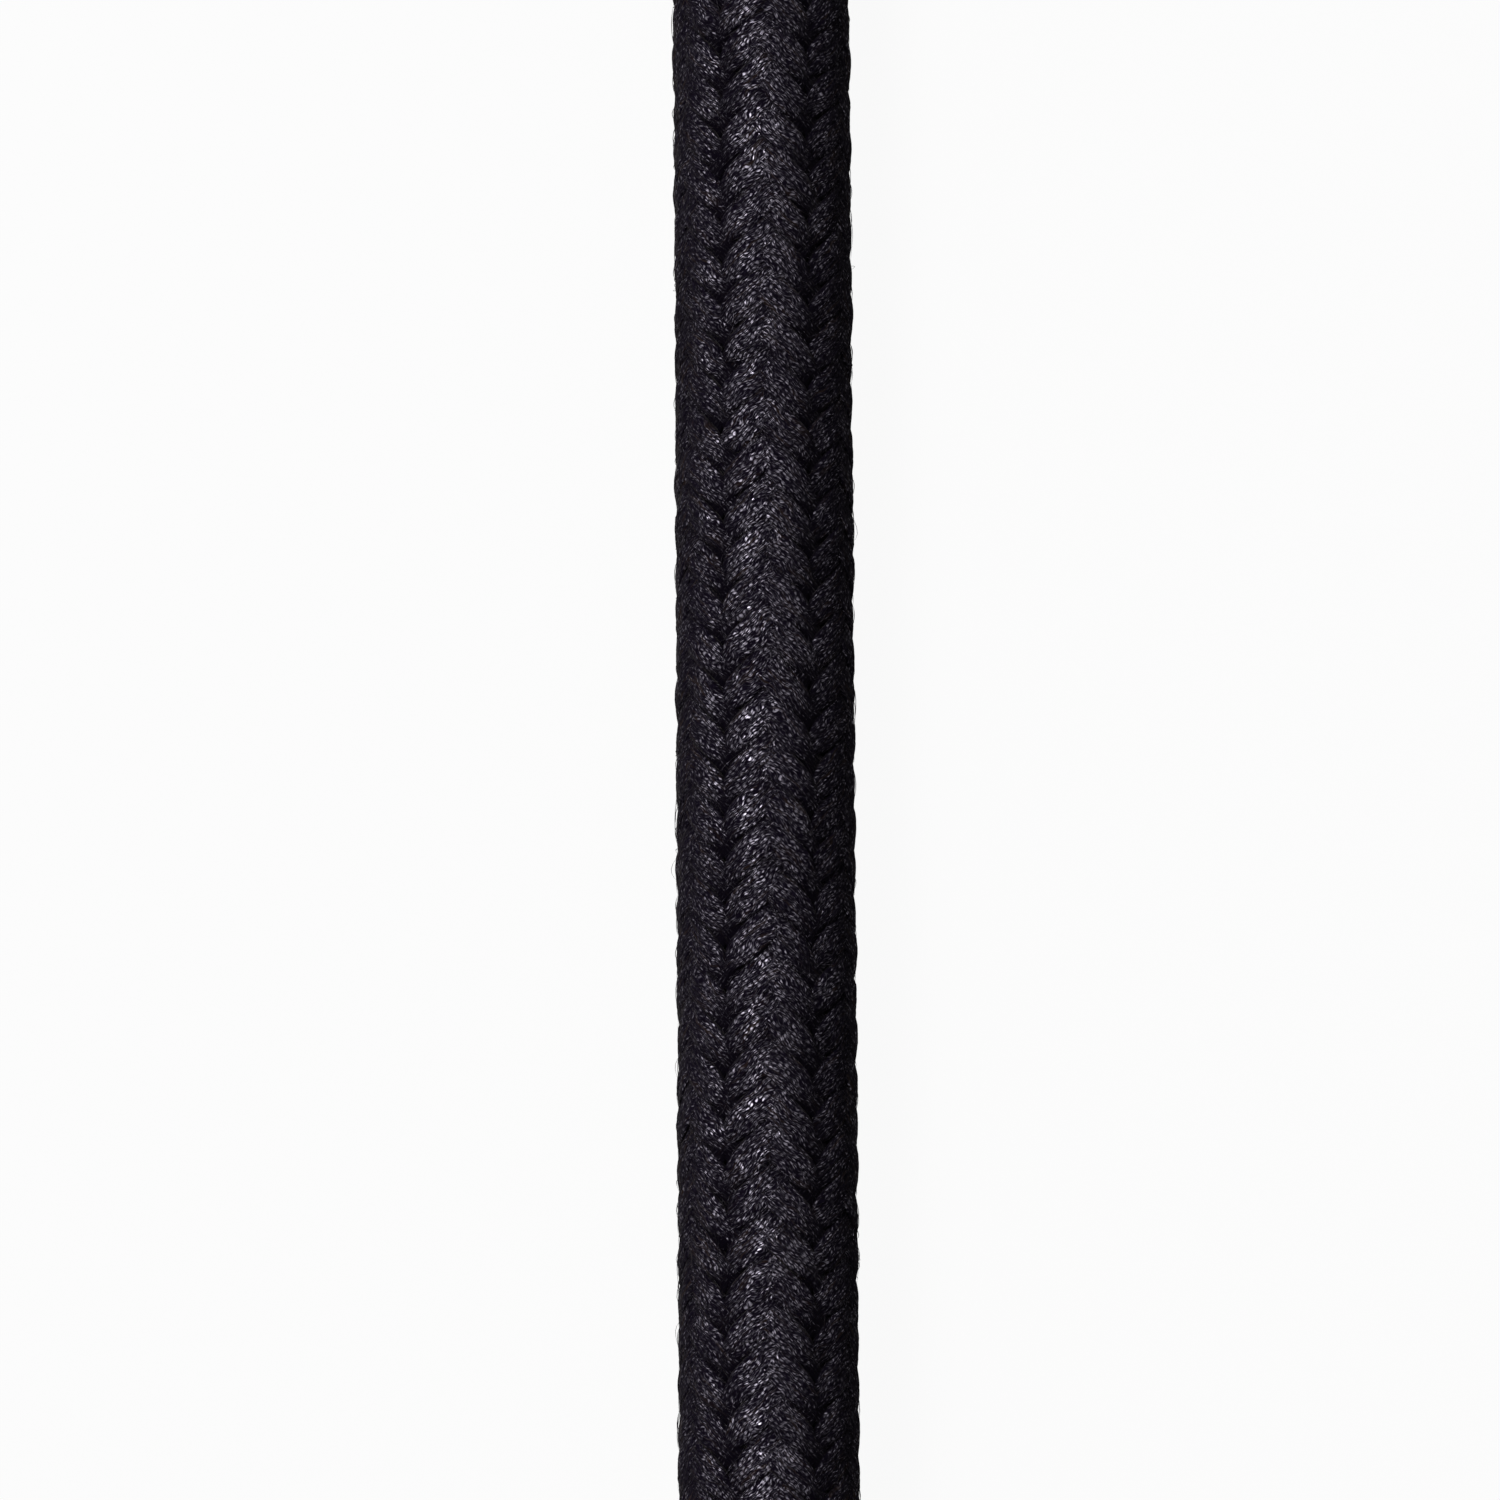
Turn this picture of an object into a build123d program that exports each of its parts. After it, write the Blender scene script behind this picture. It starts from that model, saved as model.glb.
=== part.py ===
"""Mechanical cable shutter release: a plunger handle for two fingers and a thumb, a cloth-braided
cable with 250 mm free between its ferrules, and a swivelling tip with the tapered release thread.

Millimetres, +Z up. The release lies on the surface z = 0. The handle lies along Y, its button
towards -Y, and the origin is under the middle of the handle. The cable leaves the handle towards +Y,
turns back in a wide bend and ends in the tip, which points towards -Y.

Lengths along the handle are stations, counted from the button's rim. Lengths along the tip are
stations counted from the mouth of its ferrule.
"""

import os
from math import cos, pi, radians, sin, tan

from build123d import *

# Clearances
running_gap = 0.05  # round a piece that slides or turns
press_gap = 0.02  # round a piece that is pressed, screwed or soldered in place
stop_gap = 0.05  # left where a moving piece meets its stop

# Cable: a braided sleeve over a steel conduit, and a wire that slides in the conduit
cable_diameter = 5.0
conduit_diameter = 3.0
conduit_wall = 0.7
wire_diameter = 1.2

# Travel of the button, the wire and the release pin
stroke = 8.0

# Thumb button, as wide as the finger plate is high, so that the handle lies level
grip_height = 13.0
button_thickness = 2.6
button_rim = 1.1
dish_depth = 0.8
hub_diameter = 8.4
hub_length = 1.4
hub_pocket = 0.7  # how far the pocket for the tube reaches into the button's disc
rivet_diameter = 2.8
rivet_height = 0.4

# Plunger
tube_diameter = 6.4
tube_wall = 0.6
tube_collar = 1.65
rod_diameter = 1.8
wire_seat = 3.0  # depth of the hole that holds the wire's end, in the rod and in the pin
rod_clear = 0.2  # free space round the rod, and round the pin's head, in their bores

# Barrel and its head
barrel_bore = 7.6
barrel_diameter = 9.8
barrel_length = 26.0
spigot_wall = 0.55
head_diameter = 11.4
guide_length = 6.4
skirt_length = 3.5

# Finger plate
plate_width = 27.0
plate_thickness = 2.4
wing_sweep = 2.2  # how far the wing tips curl towards the cable
wing_tip_thickness = 1.5

# Return spring
spring_wire = 0.6
spring_mean_diameter = 6.1
spring_turns = 5.0
spring_wire_sides = 4  # the wire's section is a square, which keeps the coil's facets few

# Neck and the ferrules that hold the cable
neck_spigot = 6.0
neck_cone = 10.0
ferrule_diameter = 6.6
ferrule_floor = 2.0
stem_diameter = 5.2
stem_length = 4.0
pocket_depth = 10.0
conduit_seat = 5.0  # length of conduit held in the handle's ferrule, past the braid's end

crimp_width = 1.6
crimp_depth = 0.25

# Lock screw
screw_diameter = 2.4
screw_pitch = 0.45
lock_turns = 0.75
pad_thickness = 0.8
screw_head_diameter = 6.0
screw_head_height = 3.0
screw_neck_height = 0.7
screw_flutes = 12
flute_width = 0.6

# Tip
collar_diameter = 7.6
collar_length = 10.0
swivel_neck_diameter = 4.6
swivel_neck_length = 7.0
tip_floor = 1.7
conduit_tip_seat = 2.0
tip_pocket_depth = 9.0
ring_thickness = 0.7
ring_width = 0.7
ring_gap_degrees = 40.0
ring_setback = 2.0  # from the ring to the end of the swivel neck
nozzle_flange_diameter = 5.4
nozzle_flange = 2.7
thread_large_diameter = 3.85
thread_small_diameter = 3.35
thread_length = 5.5
nose_diameter = 2.9
nose_length = 0.5
pin_diameter = 1.4
pin_head_diameter = 2.0
pin_stand_out = 0.4
wire_grip = 3.5  # length of moving wire that stays inside the conduit
bore_end = 1.0  # length of bore past the wire's furthest reach

# Edge breaks
edge_break = 0.3
fine_break = 0.15

# Radii of the cable
cable_radius = cable_diameter / 2
conduit_radius = conduit_diameter / 2
conduit_bore_radius = conduit_radius - conduit_wall
wire_radius = wire_diameter / 2

# Stations along the handle, from the button's rim
pocket_floor = button_thickness - hub_pocket
hub_end = button_thickness + hub_length
head_start = hub_end + stroke + stop_gap
guide_end = head_start + guide_length
plate_start = guide_end + skirt_length
shoulder = plate_start + plate_thickness
barrel_end = shoulder + barrel_length
neck_start = barrel_end - neck_spigot
neck_end = barrel_end + neck_cone
braid_start = neck_end + ferrule_floor
handle_length = braid_start + pocket_depth
conduit_start = braid_start - conduit_seat
collar_start = guide_end + running_gap
collar_end = collar_start + tube_collar
stem_start = neck_end - stem_length
rod_end = stem_start - stop_gap - stroke
wire_head_start = rod_end - wire_seat
wire_head_end = conduit_start + wire_grip
conduit_end = wire_head_end + stroke + bore_end
rod_bore_radius = rod_diameter / 2 + rod_clear

# Stations along the tip, from the ferrule's mouth
conduit_tip_end = tip_pocket_depth + conduit_tip_seat
neck_step = tip_pocket_depth + tip_floor
swivel_neck_end = neck_step + swivel_neck_length
grip_start = neck_step + 4 * running_gap
grip_end = grip_start + collar_length
nozzle_start = grip_end - nozzle_flange
thread_end = grip_end + thread_length
nose_end = thread_end + nose_length
pin_end = nose_end + pin_stand_out
pin_radius = pin_diameter / 2
pin_head_radius = pin_head_diameter / 2
tip_bore_radius = pin_head_radius + rod_clear
pin_start = conduit_tip_end + 2 * rod_clear
pin_head_end = pin_start + wire_seat
tip_bore_end = pin_head_end + stroke + rod_clear
wire_tail_end = pin_head_end - pin_radius
wire_tail_start = conduit_tip_end - wire_grip
conduit_tip_start = wire_tail_start - bore_end
ring_start = swivel_neck_end - ring_setback - ring_thickness
swivel_neck_radius = swivel_neck_diameter / 2
ring_inner_radius = swivel_neck_radius - ring_width / 2
ring_outer_radius = swivel_neck_radius + ring_width / 2

# Where the handle and the tip lie
axis_height = grip_height / 2
button_face_y = -handle_length / 2
tip_x = 62.6
tip_mouth_y = 1.0
tip_height = collar_diameter / 2

handle_side = Plane(origin=(0, button_face_y, axis_height), x_dir=(0, 1, 0), z_dir=(1, 0, 0))
handle_end = Plane(origin=(0, button_face_y, axis_height), x_dir=(1, 0, 0), z_dir=(0, 1, 0))
handle_axis = Axis((0, button_face_y, axis_height), (0, 1, 0))
tip_side = Plane(origin=(tip_x, tip_mouth_y, tip_height), x_dir=(0, -1, 0), z_dir=(-1, 0, 0))
tip_end = Plane(origin=(tip_x, tip_mouth_y, tip_height), x_dir=(-1, 0, 0), z_dir=(0, -1, 0))
tip_axis = Axis((tip_x, tip_mouth_y, tip_height), (0, -1, 0))

screw_station = head_start + guide_length / 2
screw_y = button_face_y + screw_station
head_top = axis_height + head_diameter / 2
screw_seat = Plane(origin=(0, screw_y, head_top), x_dir=(1, 0, 0), z_dir=(0, 0, 1))

# The cable's route, chosen by hand: out of the handle, down to the surface, round the bend and back
lying = cable_radius
cable_points = [
    (0.0, button_face_y + braid_start, axis_height),
    (0.0, 50.0, axis_height),
    (-2.2, 76.0, lying),
    (-0.8, 97.0, lying),
    (6.2, 113.6, lying),
    (19.6, 125.0, lying),
    (37.2, 127.2, lying),
    (52.8, 118.8, lying),
    (61.2, 102.8, lying),
    (62.3, 76.0, lying),
    (62.5, 33.0, lying),
    (tip_x, 10.0, tip_height),
    (tip_x, tip_mouth_y - tip_pocket_depth, tip_height),
]
bend_share = 0.45  # the part of the shorter run that each bend uses

os.makedirs("parts", exist_ok=True)


def bend_radii(points):
    """The radius of the arc at each inner point, as large as the runs beside it allow."""
    radii = []
    for before, here, after in zip(points, points[1:], points[2:]):
        run_in = Vector(here) - Vector(before)
        run_out = Vector(after) - Vector(here)
        half_turn = radians(run_in.get_angle(run_out)) / 2
        radii.append(bend_share * min(run_in.length, run_out.length) / tan(half_turn))
    return radii


def write(piece, label):
    """Names a finished piece and writes its file."""
    piece.part.label = label
    export_step(piece.part, f"parts/{label}.step")


# ---------------------------------------------------------------- plunger

with BuildPart() as thumb_button:
    with BuildSketch(handle_side):
        with BuildLine():
            button_radius = grip_height / 2
            dish_radius = button_radius - button_rim
            Polyline(
                (dish_depth, 0),
                (dish_depth, rivet_diameter / 2 + press_gap),
                (0, dish_radius),
                (0, button_radius - edge_break),
                (edge_break, button_radius),
                (button_thickness - 2 * edge_break, button_radius),
                (button_thickness, button_radius - 3 * edge_break),
                (button_thickness, hub_diameter / 2),
                (hub_end, hub_diameter / 2),
                (hub_end, tube_diameter / 2 + press_gap),
                (pocket_floor, tube_diameter / 2 + press_gap),
                (pocket_floor, 0),
                close=True,
            )
        make_face()
    revolve(axis=handle_axis)
    with Locations(handle_end):
        Hole(rod_diameter / 2 + press_gap)
write(thumb_button, "thumb_button")

with BuildPart() as plunger_tube:
    with BuildSketch(handle_side):
        with BuildLine():
            Polyline(
                (pocket_floor, tube_diameter / 2 - tube_wall),
                (pocket_floor, tube_diameter / 2),
                (collar_start, tube_diameter / 2),
                (collar_start, barrel_bore / 2 - running_gap),
                (collar_end, barrel_bore / 2 - running_gap),
                (collar_end, tube_diameter / 2 - tube_wall),
                close=True,
            )
        make_face()
    revolve(axis=handle_axis)
write(plunger_tube, "plunger_tube")

with BuildPart() as plunger_rod:
    with BuildSketch(handle_side):
        with BuildLine():
            Polyline(
                (dish_depth - rivet_height, 0),
                (dish_depth - rivet_height, rivet_diameter / 4),
                (dish_depth, rivet_diameter / 2),
                (dish_depth, rod_diameter / 2),
                (rod_end, rod_diameter / 2),
                (rod_end, wire_radius + press_gap),
                (wire_head_start, wire_radius + press_gap),
                (wire_head_start, 0),
                close=True,
            )
        make_face()
    revolve(axis=handle_axis)
write(plunger_rod, "plunger_rod")

with BuildPart() as wire_head:
    with BuildSketch(handle_end.offset(wire_head_start)):
        Circle(wire_radius)
    extrude(amount=wire_head_end - wire_head_start)
write(wire_head, "wire_head")

# ---------------------------------------------------------------- barrel

spigot_radius = barrel_bore / 2 + spigot_wall

with BuildPart() as barrel:
    with BuildSketch(handle_side):
        with BuildLine():
            Polyline(
                (guide_end, barrel_bore / 2),
                (guide_end, spigot_radius),
                (shoulder, spigot_radius),
                (shoulder, barrel_diameter / 2),
                (barrel_end, barrel_diameter / 2),
                (barrel_end, barrel_bore / 2),
                close=True,
            )
        make_face()
    revolve(axis=handle_axis)
    shoulder_rim = barrel.edges().filter_by(GeomType.CIRCLE).filter_by(
        lambda e: abs(e.center().Y - button_face_y - shoulder) < press_gap
    )
    chamfer(shoulder_rim.sort_by(SortBy.RADIUS)[-1], edge_break)
write(barrel, "barrel")

with BuildPart() as barrel_head:
    with BuildSketch(handle_side):
        with BuildLine():
            Polyline(
                (head_start, tube_diameter / 2 + running_gap),
                (head_start, head_diameter / 2 - 3 * edge_break),
                (head_start + 2 * edge_break, head_diameter / 2),
                (plate_start, head_diameter / 2),
                (plate_start, spigot_radius + press_gap),
                (guide_end, spigot_radius + press_gap),
                (guide_end, tube_diameter / 2 + running_gap),
                close=True,
            )
        make_face()
    revolve(axis=handle_axis)
    with Locations(screw_seat):
        Hole(screw_diameter / 2 + running_gap, depth=head_diameter / 2)
write(barrel_head, "barrel_head")

plate_face = handle_end.offset(plate_start)

with BuildPart() as finger_plate:
    with BuildSketch(Plane(origin=(0, button_face_y + plate_start, 0), z_dir=(0, 0, 1))):
        with BuildLine():
            wing = plate_width / 2
            root_x = head_diameter / 2
            front = Line((0, 0), (root_x, 0))
            front_curve = TangentArc(front @ 1, (wing, wing_sweep), tangent=(1, 0))
            tip_edge = Line(front_curve @ 1, (wing - wing_tip_thickness / 3, wing_sweep + wing_tip_thickness))
            back_curve = ThreePointArc(
                tip_edge @ 1,
                ((wing + root_x) / 2, plate_thickness + wing_sweep / 4),
                (root_x, plate_thickness),
            )
            Line(back_curve @ 1, (0, plate_thickness))
            Line((0, plate_thickness), (0, 0))
        make_face()
        mirror(about=Plane.YZ)
    extrude(amount=grip_height)
    with BuildSketch(plate_face):
        with BuildLine():
            half_height = grip_height / 2
            Polyline((-wing / 2, half_height), (wing / 2, half_height))
            ThreePointArc((wing / 2, half_height), (wing, 0), (wing / 2, -half_height))
            Polyline((wing / 2, -half_height), (-wing / 2, -half_height))
            ThreePointArc((-wing / 2, -half_height), (-wing, 0), (-wing / 2, half_height))
        make_face()
    extrude(amount=2 * grip_height, both=True, mode=Mode.INTERSECT)
    with Locations(plate_face):
        Hole(spigot_radius + press_gap)
write(finger_plate, "finger_plate")

# ---------------------------------------------------------------- return spring

spring_start = collar_end + spring_wire / 2
spring_rise = neck_start - spring_wire / 2 - spring_start

with BuildPart() as return_spring:
    with BuildLine():
        coil = Helix(
            pitch=spring_rise / spring_turns,
            height=spring_rise,
            radius=spring_mean_diameter / 2,
            center=(0, button_face_y + spring_start, axis_height),
            direction=(0, 1, 0),
        )
    with BuildSketch(Plane(origin=coil @ 0, z_dir=coil % 0)):
        RegularPolygon(spring_wire / 2, spring_wire_sides)
    sweep(path=coil, is_frenet=True)
write(return_spring, "return_spring")

# ---------------------------------------------------------------- neck and handle ferrule

with BuildPart() as neck:
    with BuildSketch(handle_side):
        with BuildLine():
            spigot_r = barrel_bore / 2 - press_gap
            waist = (barrel_end + 0.6 * neck_cone, 0.4 * barrel_diameter)
            Polyline(
                (stem_start, rod_bore_radius),
                (neck_start, rod_bore_radius),
                (neck_start, spigot_r),
                (barrel_end, spigot_r),
                (barrel_end, barrel_diameter / 2),
                waist,
                (neck_end, ferrule_diameter / 2),
                (neck_end, stem_diameter / 2 + press_gap),
                (stem_start, stem_diameter / 2 + press_gap),
                close=True,
            )
        make_face()
    revolve(axis=handle_axis)
write(neck, "neck")


def ferrule_profile(mouth, floor, crimps):
    """Upper half of a ferrule's cup: stations of its mouth and of its floor, and of its crimps."""
    inward = 1 if floor > mouth else -1
    wall = ferrule_diameter / 2
    points = [
        (floor, cable_radius + press_gap),
        (mouth, cable_radius + press_gap),
        (mouth, wall - edge_break),
        (mouth + inward * edge_break, wall),
    ]
    for crimp in crimps:
        points.append((crimp - inward * crimp_width / 2, wall))
        points.append((crimp, wall - crimp_depth))
        points.append((crimp + inward * crimp_width / 2, wall))
    return points


with BuildPart() as handle_ferrule:
    with BuildSketch(handle_side):
        with BuildLine():
            crimp_rows = (braid_start + 0.75 * pocket_depth, braid_start + 0.35 * pocket_depth)
            Polyline(
                *ferrule_profile(handle_length, braid_start, crimp_rows),
                (neck_end, ferrule_diameter / 2),
                (neck_end, stem_diameter / 2),
                (stem_start, stem_diameter / 2),
                (stem_start, wire_radius + rod_clear),
                (conduit_start, wire_radius + rod_clear),
                (conduit_start, conduit_radius + press_gap),
                (braid_start, conduit_radius + press_gap),
                close=True,
            )
        make_face()
    revolve(axis=handle_axis)
write(handle_ferrule, "handle_ferrule")

# ---------------------------------------------------------------- lock screw and its pad

lock_lift = lock_turns * screw_pitch
pad_bottom = axis_height + tube_diameter / 2 + stop_gap + lock_lift
pad_top = pad_bottom + pad_thickness
knob_bottom = head_top + lock_lift + stop_gap + screw_neck_height

with BuildPart() as lock_pad:
    with Locations((0, screw_y, pad_bottom)):
        Cylinder(screw_diameter / 2, pad_thickness, align=(Align.CENTER, Align.CENTER, Align.MIN))
    chamfer(lock_pad.edges().group_by(Axis.Z)[0], fine_break)
write(lock_pad, "lock_pad")

with BuildPart() as lock_screw:
    with BuildSketch(Plane.XY.offset(knob_bottom)):
        with Locations((0, screw_y)):
            Circle(screw_head_diameter / 2)
            with PolarLocations(screw_head_diameter / 2, screw_flutes):
                Rectangle(flute_width, flute_width, rotation=45, mode=Mode.SUBTRACT)
    extrude(amount=screw_head_height)
    with BuildSketch(Plane(origin=(0, screw_y, knob_bottom), x_dir=(1, 0, 0), z_dir=(0, -1, 0))):
        with BuildLine():
            knob_radius = screw_head_diameter / 2
            knob_bevel = knob_radius - 2 * edge_break
            Polyline(
                (0, 0),
                (knob_bevel, 0),
                (knob_radius, edge_break),
                (knob_radius, screw_head_height - 2 * edge_break),
                (knob_bevel, screw_head_height - edge_break),
                (0, screw_head_height),
                close=True,
            )
        make_face()
    revolve(axis=Axis((0, screw_y, 0), (0, 0, 1)), mode=Mode.INTERSECT)
    with Locations((0, screw_y, pad_top)):
        Cylinder(
            screw_diameter / 2, knob_bottom - pad_top, align=(Align.CENTER, Align.CENTER, Align.MIN)
        )
write(lock_screw, "lock_screw")

# ---------------------------------------------------------------- cable

print("Bend radii:", [round(radius, 1) for radius in bend_radii(cable_points)])

with BuildPart() as cable_braid:
    with BuildLine():
        centreline = FilletPolyline(*cable_points, radius=bend_radii(cable_points))
    with BuildSketch(Plane(origin=centreline @ 0, z_dir=centreline % 0)):
        Circle(cable_radius)
    sweep(path=centreline)
    swept_volume = pi * cable_radius**2 * centreline.length
    print(f"Volume is {cable_braid.part.volume / swept_volume:.5f} of the section times the length")
    with Locations(handle_end.offset(braid_start)):
        Hole(conduit_radius + press_gap, depth=conduit_end - braid_start)
    with Locations(tip_end.offset(tip_pocket_depth)):
        Hole(conduit_radius + press_gap, depth=tip_pocket_depth - conduit_tip_start)
write(cable_braid, "cable_braid")
free_length = centreline.length - pocket_depth - tip_pocket_depth
print(f"Cable between the ferrules: {free_length:.2f}")

# The conduit and the wire follow the braid unseen, and are made where they come out of it
with BuildPart() as conduit_head:
    with BuildSketch(handle_end.offset(conduit_start)):
        Circle(conduit_radius)
        Circle(conduit_bore_radius, mode=Mode.SUBTRACT)
    extrude(amount=conduit_end - conduit_start)
write(conduit_head, "conduit_head")

with BuildPart() as conduit_tail:
    with BuildSketch(tip_end.offset(conduit_tip_start)):
        Circle(conduit_radius)
        Circle(conduit_bore_radius, mode=Mode.SUBTRACT)
    extrude(amount=conduit_tip_end - conduit_tip_start)
write(conduit_tail, "conduit_tail")

# ---------------------------------------------------------------- tip

with BuildPart() as tip_ferrule:
    with BuildSketch(tip_side):
        with BuildLine():
            crimp_rows = (0.25 * tip_pocket_depth, 0.65 * tip_pocket_depth)
            Polyline(
                *ferrule_profile(0, tip_pocket_depth, crimp_rows),
                (neck_step, ferrule_diameter / 2),
                (neck_step, swivel_neck_radius),
                (ring_start - running_gap, swivel_neck_radius),
                (ring_start - running_gap, ring_inner_radius - press_gap),
                (ring_start + ring_thickness + running_gap, ring_inner_radius - press_gap),
                (ring_start + ring_thickness + running_gap, swivel_neck_radius),
                (swivel_neck_end, swivel_neck_radius),
                (swivel_neck_end, tip_bore_radius),
                (conduit_tip_end, tip_bore_radius),
                (conduit_tip_end, conduit_radius + press_gap),
                (tip_pocket_depth, conduit_radius + press_gap),
                close=True,
            )
        make_face()
    revolve(axis=tip_axis)
write(tip_ferrule, "tip_ferrule")

with BuildPart() as snap_ring:
    with BuildSketch(tip_end.offset(ring_start)):
        Circle(ring_outer_radius)
        Circle(ring_inner_radius, mode=Mode.SUBTRACT)
        with BuildLine():
            half_gap = radians(ring_gap_degrees / 2)
            reach = 2 * ring_outer_radius
            Polyline(
                (0, 0),
                (reach * cos(half_gap), reach * sin(half_gap)),
                (reach * cos(half_gap), -reach * sin(half_gap)),
                close=True,
            )
        make_face(mode=Mode.SUBTRACT)
    extrude(amount=ring_thickness)
write(snap_ring, "snap_ring")

with BuildPart() as swivel_collar:
    with BuildSketch(tip_side):
        with BuildLine():
            bevel = 2 * edge_break
            Polyline(
                (grip_start, swivel_neck_radius + running_gap),
                (grip_start, collar_diameter / 2 - bevel),
                (grip_start + bevel, collar_diameter / 2),
                (grip_end - bevel, collar_diameter / 2),
                (grip_end, collar_diameter / 2 - bevel),
                (grip_end, nozzle_flange_diameter / 2 + press_gap),
                (nozzle_start, nozzle_flange_diameter / 2 + press_gap),
                (nozzle_start, swivel_neck_radius + running_gap),
                (ring_start + ring_thickness + running_gap, swivel_neck_radius + running_gap),
                (ring_start + ring_thickness + running_gap, ring_outer_radius + running_gap),
                (ring_start - running_gap, ring_outer_radius + running_gap),
                (ring_start - running_gap, swivel_neck_radius + running_gap),
                close=True,
            )
        make_face()
    revolve(axis=tip_axis)
write(swivel_collar, "swivel_collar")

with BuildPart() as tip_nozzle:
    with BuildSketch(tip_side):
        with BuildLine():
            Polyline(
                (nozzle_start, tip_bore_radius),
                (nozzle_start, nozzle_flange_diameter / 2),
                (grip_end, nozzle_flange_diameter / 2),
                (grip_end, thread_large_diameter / 2),
                (thread_end, thread_small_diameter / 2),
                (thread_end, nose_diameter / 2),
                (nose_end, nose_diameter / 2),
                (nose_end, pin_radius + running_gap),
                (tip_bore_end, pin_radius + running_gap),
                (tip_bore_end, tip_bore_radius),
                close=True,
            )
        make_face()
    revolve(axis=tip_axis)
write(tip_nozzle, "tip_nozzle")

with BuildPart() as release_pin:
    with BuildSketch(tip_side):
        with BuildLine():
            Polyline(
                (wire_tail_end, 0),
                (wire_tail_end, wire_radius + press_gap),
                (pin_start, wire_radius + press_gap),
                (pin_start, pin_head_radius),
                (pin_head_end, pin_head_radius),
                (pin_head_end, pin_radius),
                (pin_end - edge_break, pin_radius),
                (pin_end, pin_radius - edge_break),
                (pin_end, 0),
                close=True,
            )
        make_face()
    revolve(axis=tip_axis)
write(release_pin, "release_pin")

with BuildPart() as wire_tail:
    with BuildSketch(tip_end.offset(wire_tail_start)):
        Circle(wire_radius)
    extrude(amount=wire_tail_end - wire_tail_start)
write(wire_tail, "wire_tail")
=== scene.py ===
import math

import bmesh
import bpy
import numpy as np
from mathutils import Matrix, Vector


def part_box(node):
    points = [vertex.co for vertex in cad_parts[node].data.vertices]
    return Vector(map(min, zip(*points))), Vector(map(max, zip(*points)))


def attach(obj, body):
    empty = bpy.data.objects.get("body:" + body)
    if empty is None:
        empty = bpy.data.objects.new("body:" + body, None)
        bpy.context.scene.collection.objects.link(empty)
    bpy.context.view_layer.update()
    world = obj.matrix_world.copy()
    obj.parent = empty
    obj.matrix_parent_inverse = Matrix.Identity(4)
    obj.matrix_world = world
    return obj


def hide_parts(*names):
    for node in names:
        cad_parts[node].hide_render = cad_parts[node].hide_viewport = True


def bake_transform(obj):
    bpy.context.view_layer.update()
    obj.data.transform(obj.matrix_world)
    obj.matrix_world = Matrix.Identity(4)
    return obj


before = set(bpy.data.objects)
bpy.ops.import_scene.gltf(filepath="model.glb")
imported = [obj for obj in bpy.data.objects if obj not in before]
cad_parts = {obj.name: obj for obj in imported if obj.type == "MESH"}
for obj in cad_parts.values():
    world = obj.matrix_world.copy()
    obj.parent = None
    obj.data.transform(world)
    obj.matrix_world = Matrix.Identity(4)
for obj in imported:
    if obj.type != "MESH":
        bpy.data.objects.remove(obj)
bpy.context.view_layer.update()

MM = 0.001
FULL_TURN = 2 * math.pi
SHARP_EDGE = 0.6  # radians between two faces from which their edge stays sharp
draws = np.random.default_rng(11)
root = bpy.context.scene.collection

# The route of the cable, as in the part's source
ROUTE = [
    (0.0, 0.026175, 0.0065),
    (0.0, 0.05, 0.0065),
    (-0.0022, 0.076, 0.0025),
    (-0.0008, 0.097, 0.0025),
    (0.0062, 0.1136, 0.0025),
    (0.0196, 0.125, 0.0025),
    (0.0372, 0.1272, 0.0025),
    (0.0528, 0.1188, 0.0025),
    (0.0612, 0.1028, 0.0025),
    (0.0623, 0.076, 0.0025),
    (0.0625, 0.033, 0.0025),
    (0.0626, 0.01, 0.0038),
    (0.0626, -0.008, 0.0038),
]

# ---------------------------------------------------------------- nodes of the materials


class Look:
    """A node-based material, built up in short calls. Each call but set and put gives a socket,
    and add gives a node."""

    def __init__(self, name):
        self.material = bpy.data.materials.new(name)
        self.material.use_nodes = True
        self.tree = self.material.node_tree
        self.shader = self.tree.nodes["Principled BSDF"]

    def add(self, kind, settings=None, inputs=None):
        node = self.tree.nodes.new("ShaderNode" + kind)
        for key, value in (settings or {}).items():
            setattr(node, key, value)
        for key, value in (inputs or {}).items():
            self.put(node, key, value)
        return node

    def put(self, node, key, value):
        if isinstance(value, bpy.types.NodeSocket):
            self.tree.links.new(value, node.inputs[key])
        else:
            node.inputs[key].default_value = value

    def set(self, **inputs):
        for key, value in inputs.items():
            self.put(self.shader, key.replace("_", " "), value)

    def math(self, operation, a, b=0.0, clamp=False):
        settings = {"operation": operation, "use_clamp": clamp}
        return self.add("Math", settings, {0: a, 1: b}).outputs[0]

    def range(self, value, low, high, to_low=0.0, to_high=1.0):
        inputs = {0: value, 1: low, 2: high, 3: to_low, 4: to_high}
        return self.add("MapRange", {"clamp": True}, inputs).outputs[0]

    def mix(self, share, a, b):
        node = self.add("Mix", {"data_type": "RGBA"}, {0: share})
        self.put(node, 6, a)
        self.put(node, 7, b)
        return node.outputs[2]

    def scaled(self, vector, x, y, z):
        settings = {"operation": "MULTIPLY"}
        return self.add("VectorMath", settings, {0: vector, 1: (x, y, z)}).outputs[0]

    def noise(self, vector, scale=1.0, detail=2.0, rough=0.5, dimensions="3D"):
        inputs = {"Vector": vector, "Scale": scale, "Detail": detail, "Roughness": rough}
        return self.add("TexNoise", {"noise_dimensions": dimensions}, inputs).outputs[0]

    def bump(self, height, distance, strength=1.0, before=None):
        inputs = {"Height": height, "Distance": distance, "Strength": strength}
        if before is not None:
            inputs["Normal"] = before
        return self.add("Bump", None, inputs).outputs[0]

    def place(self):
        return self.add("TexCoord").outputs["Object"]


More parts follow.
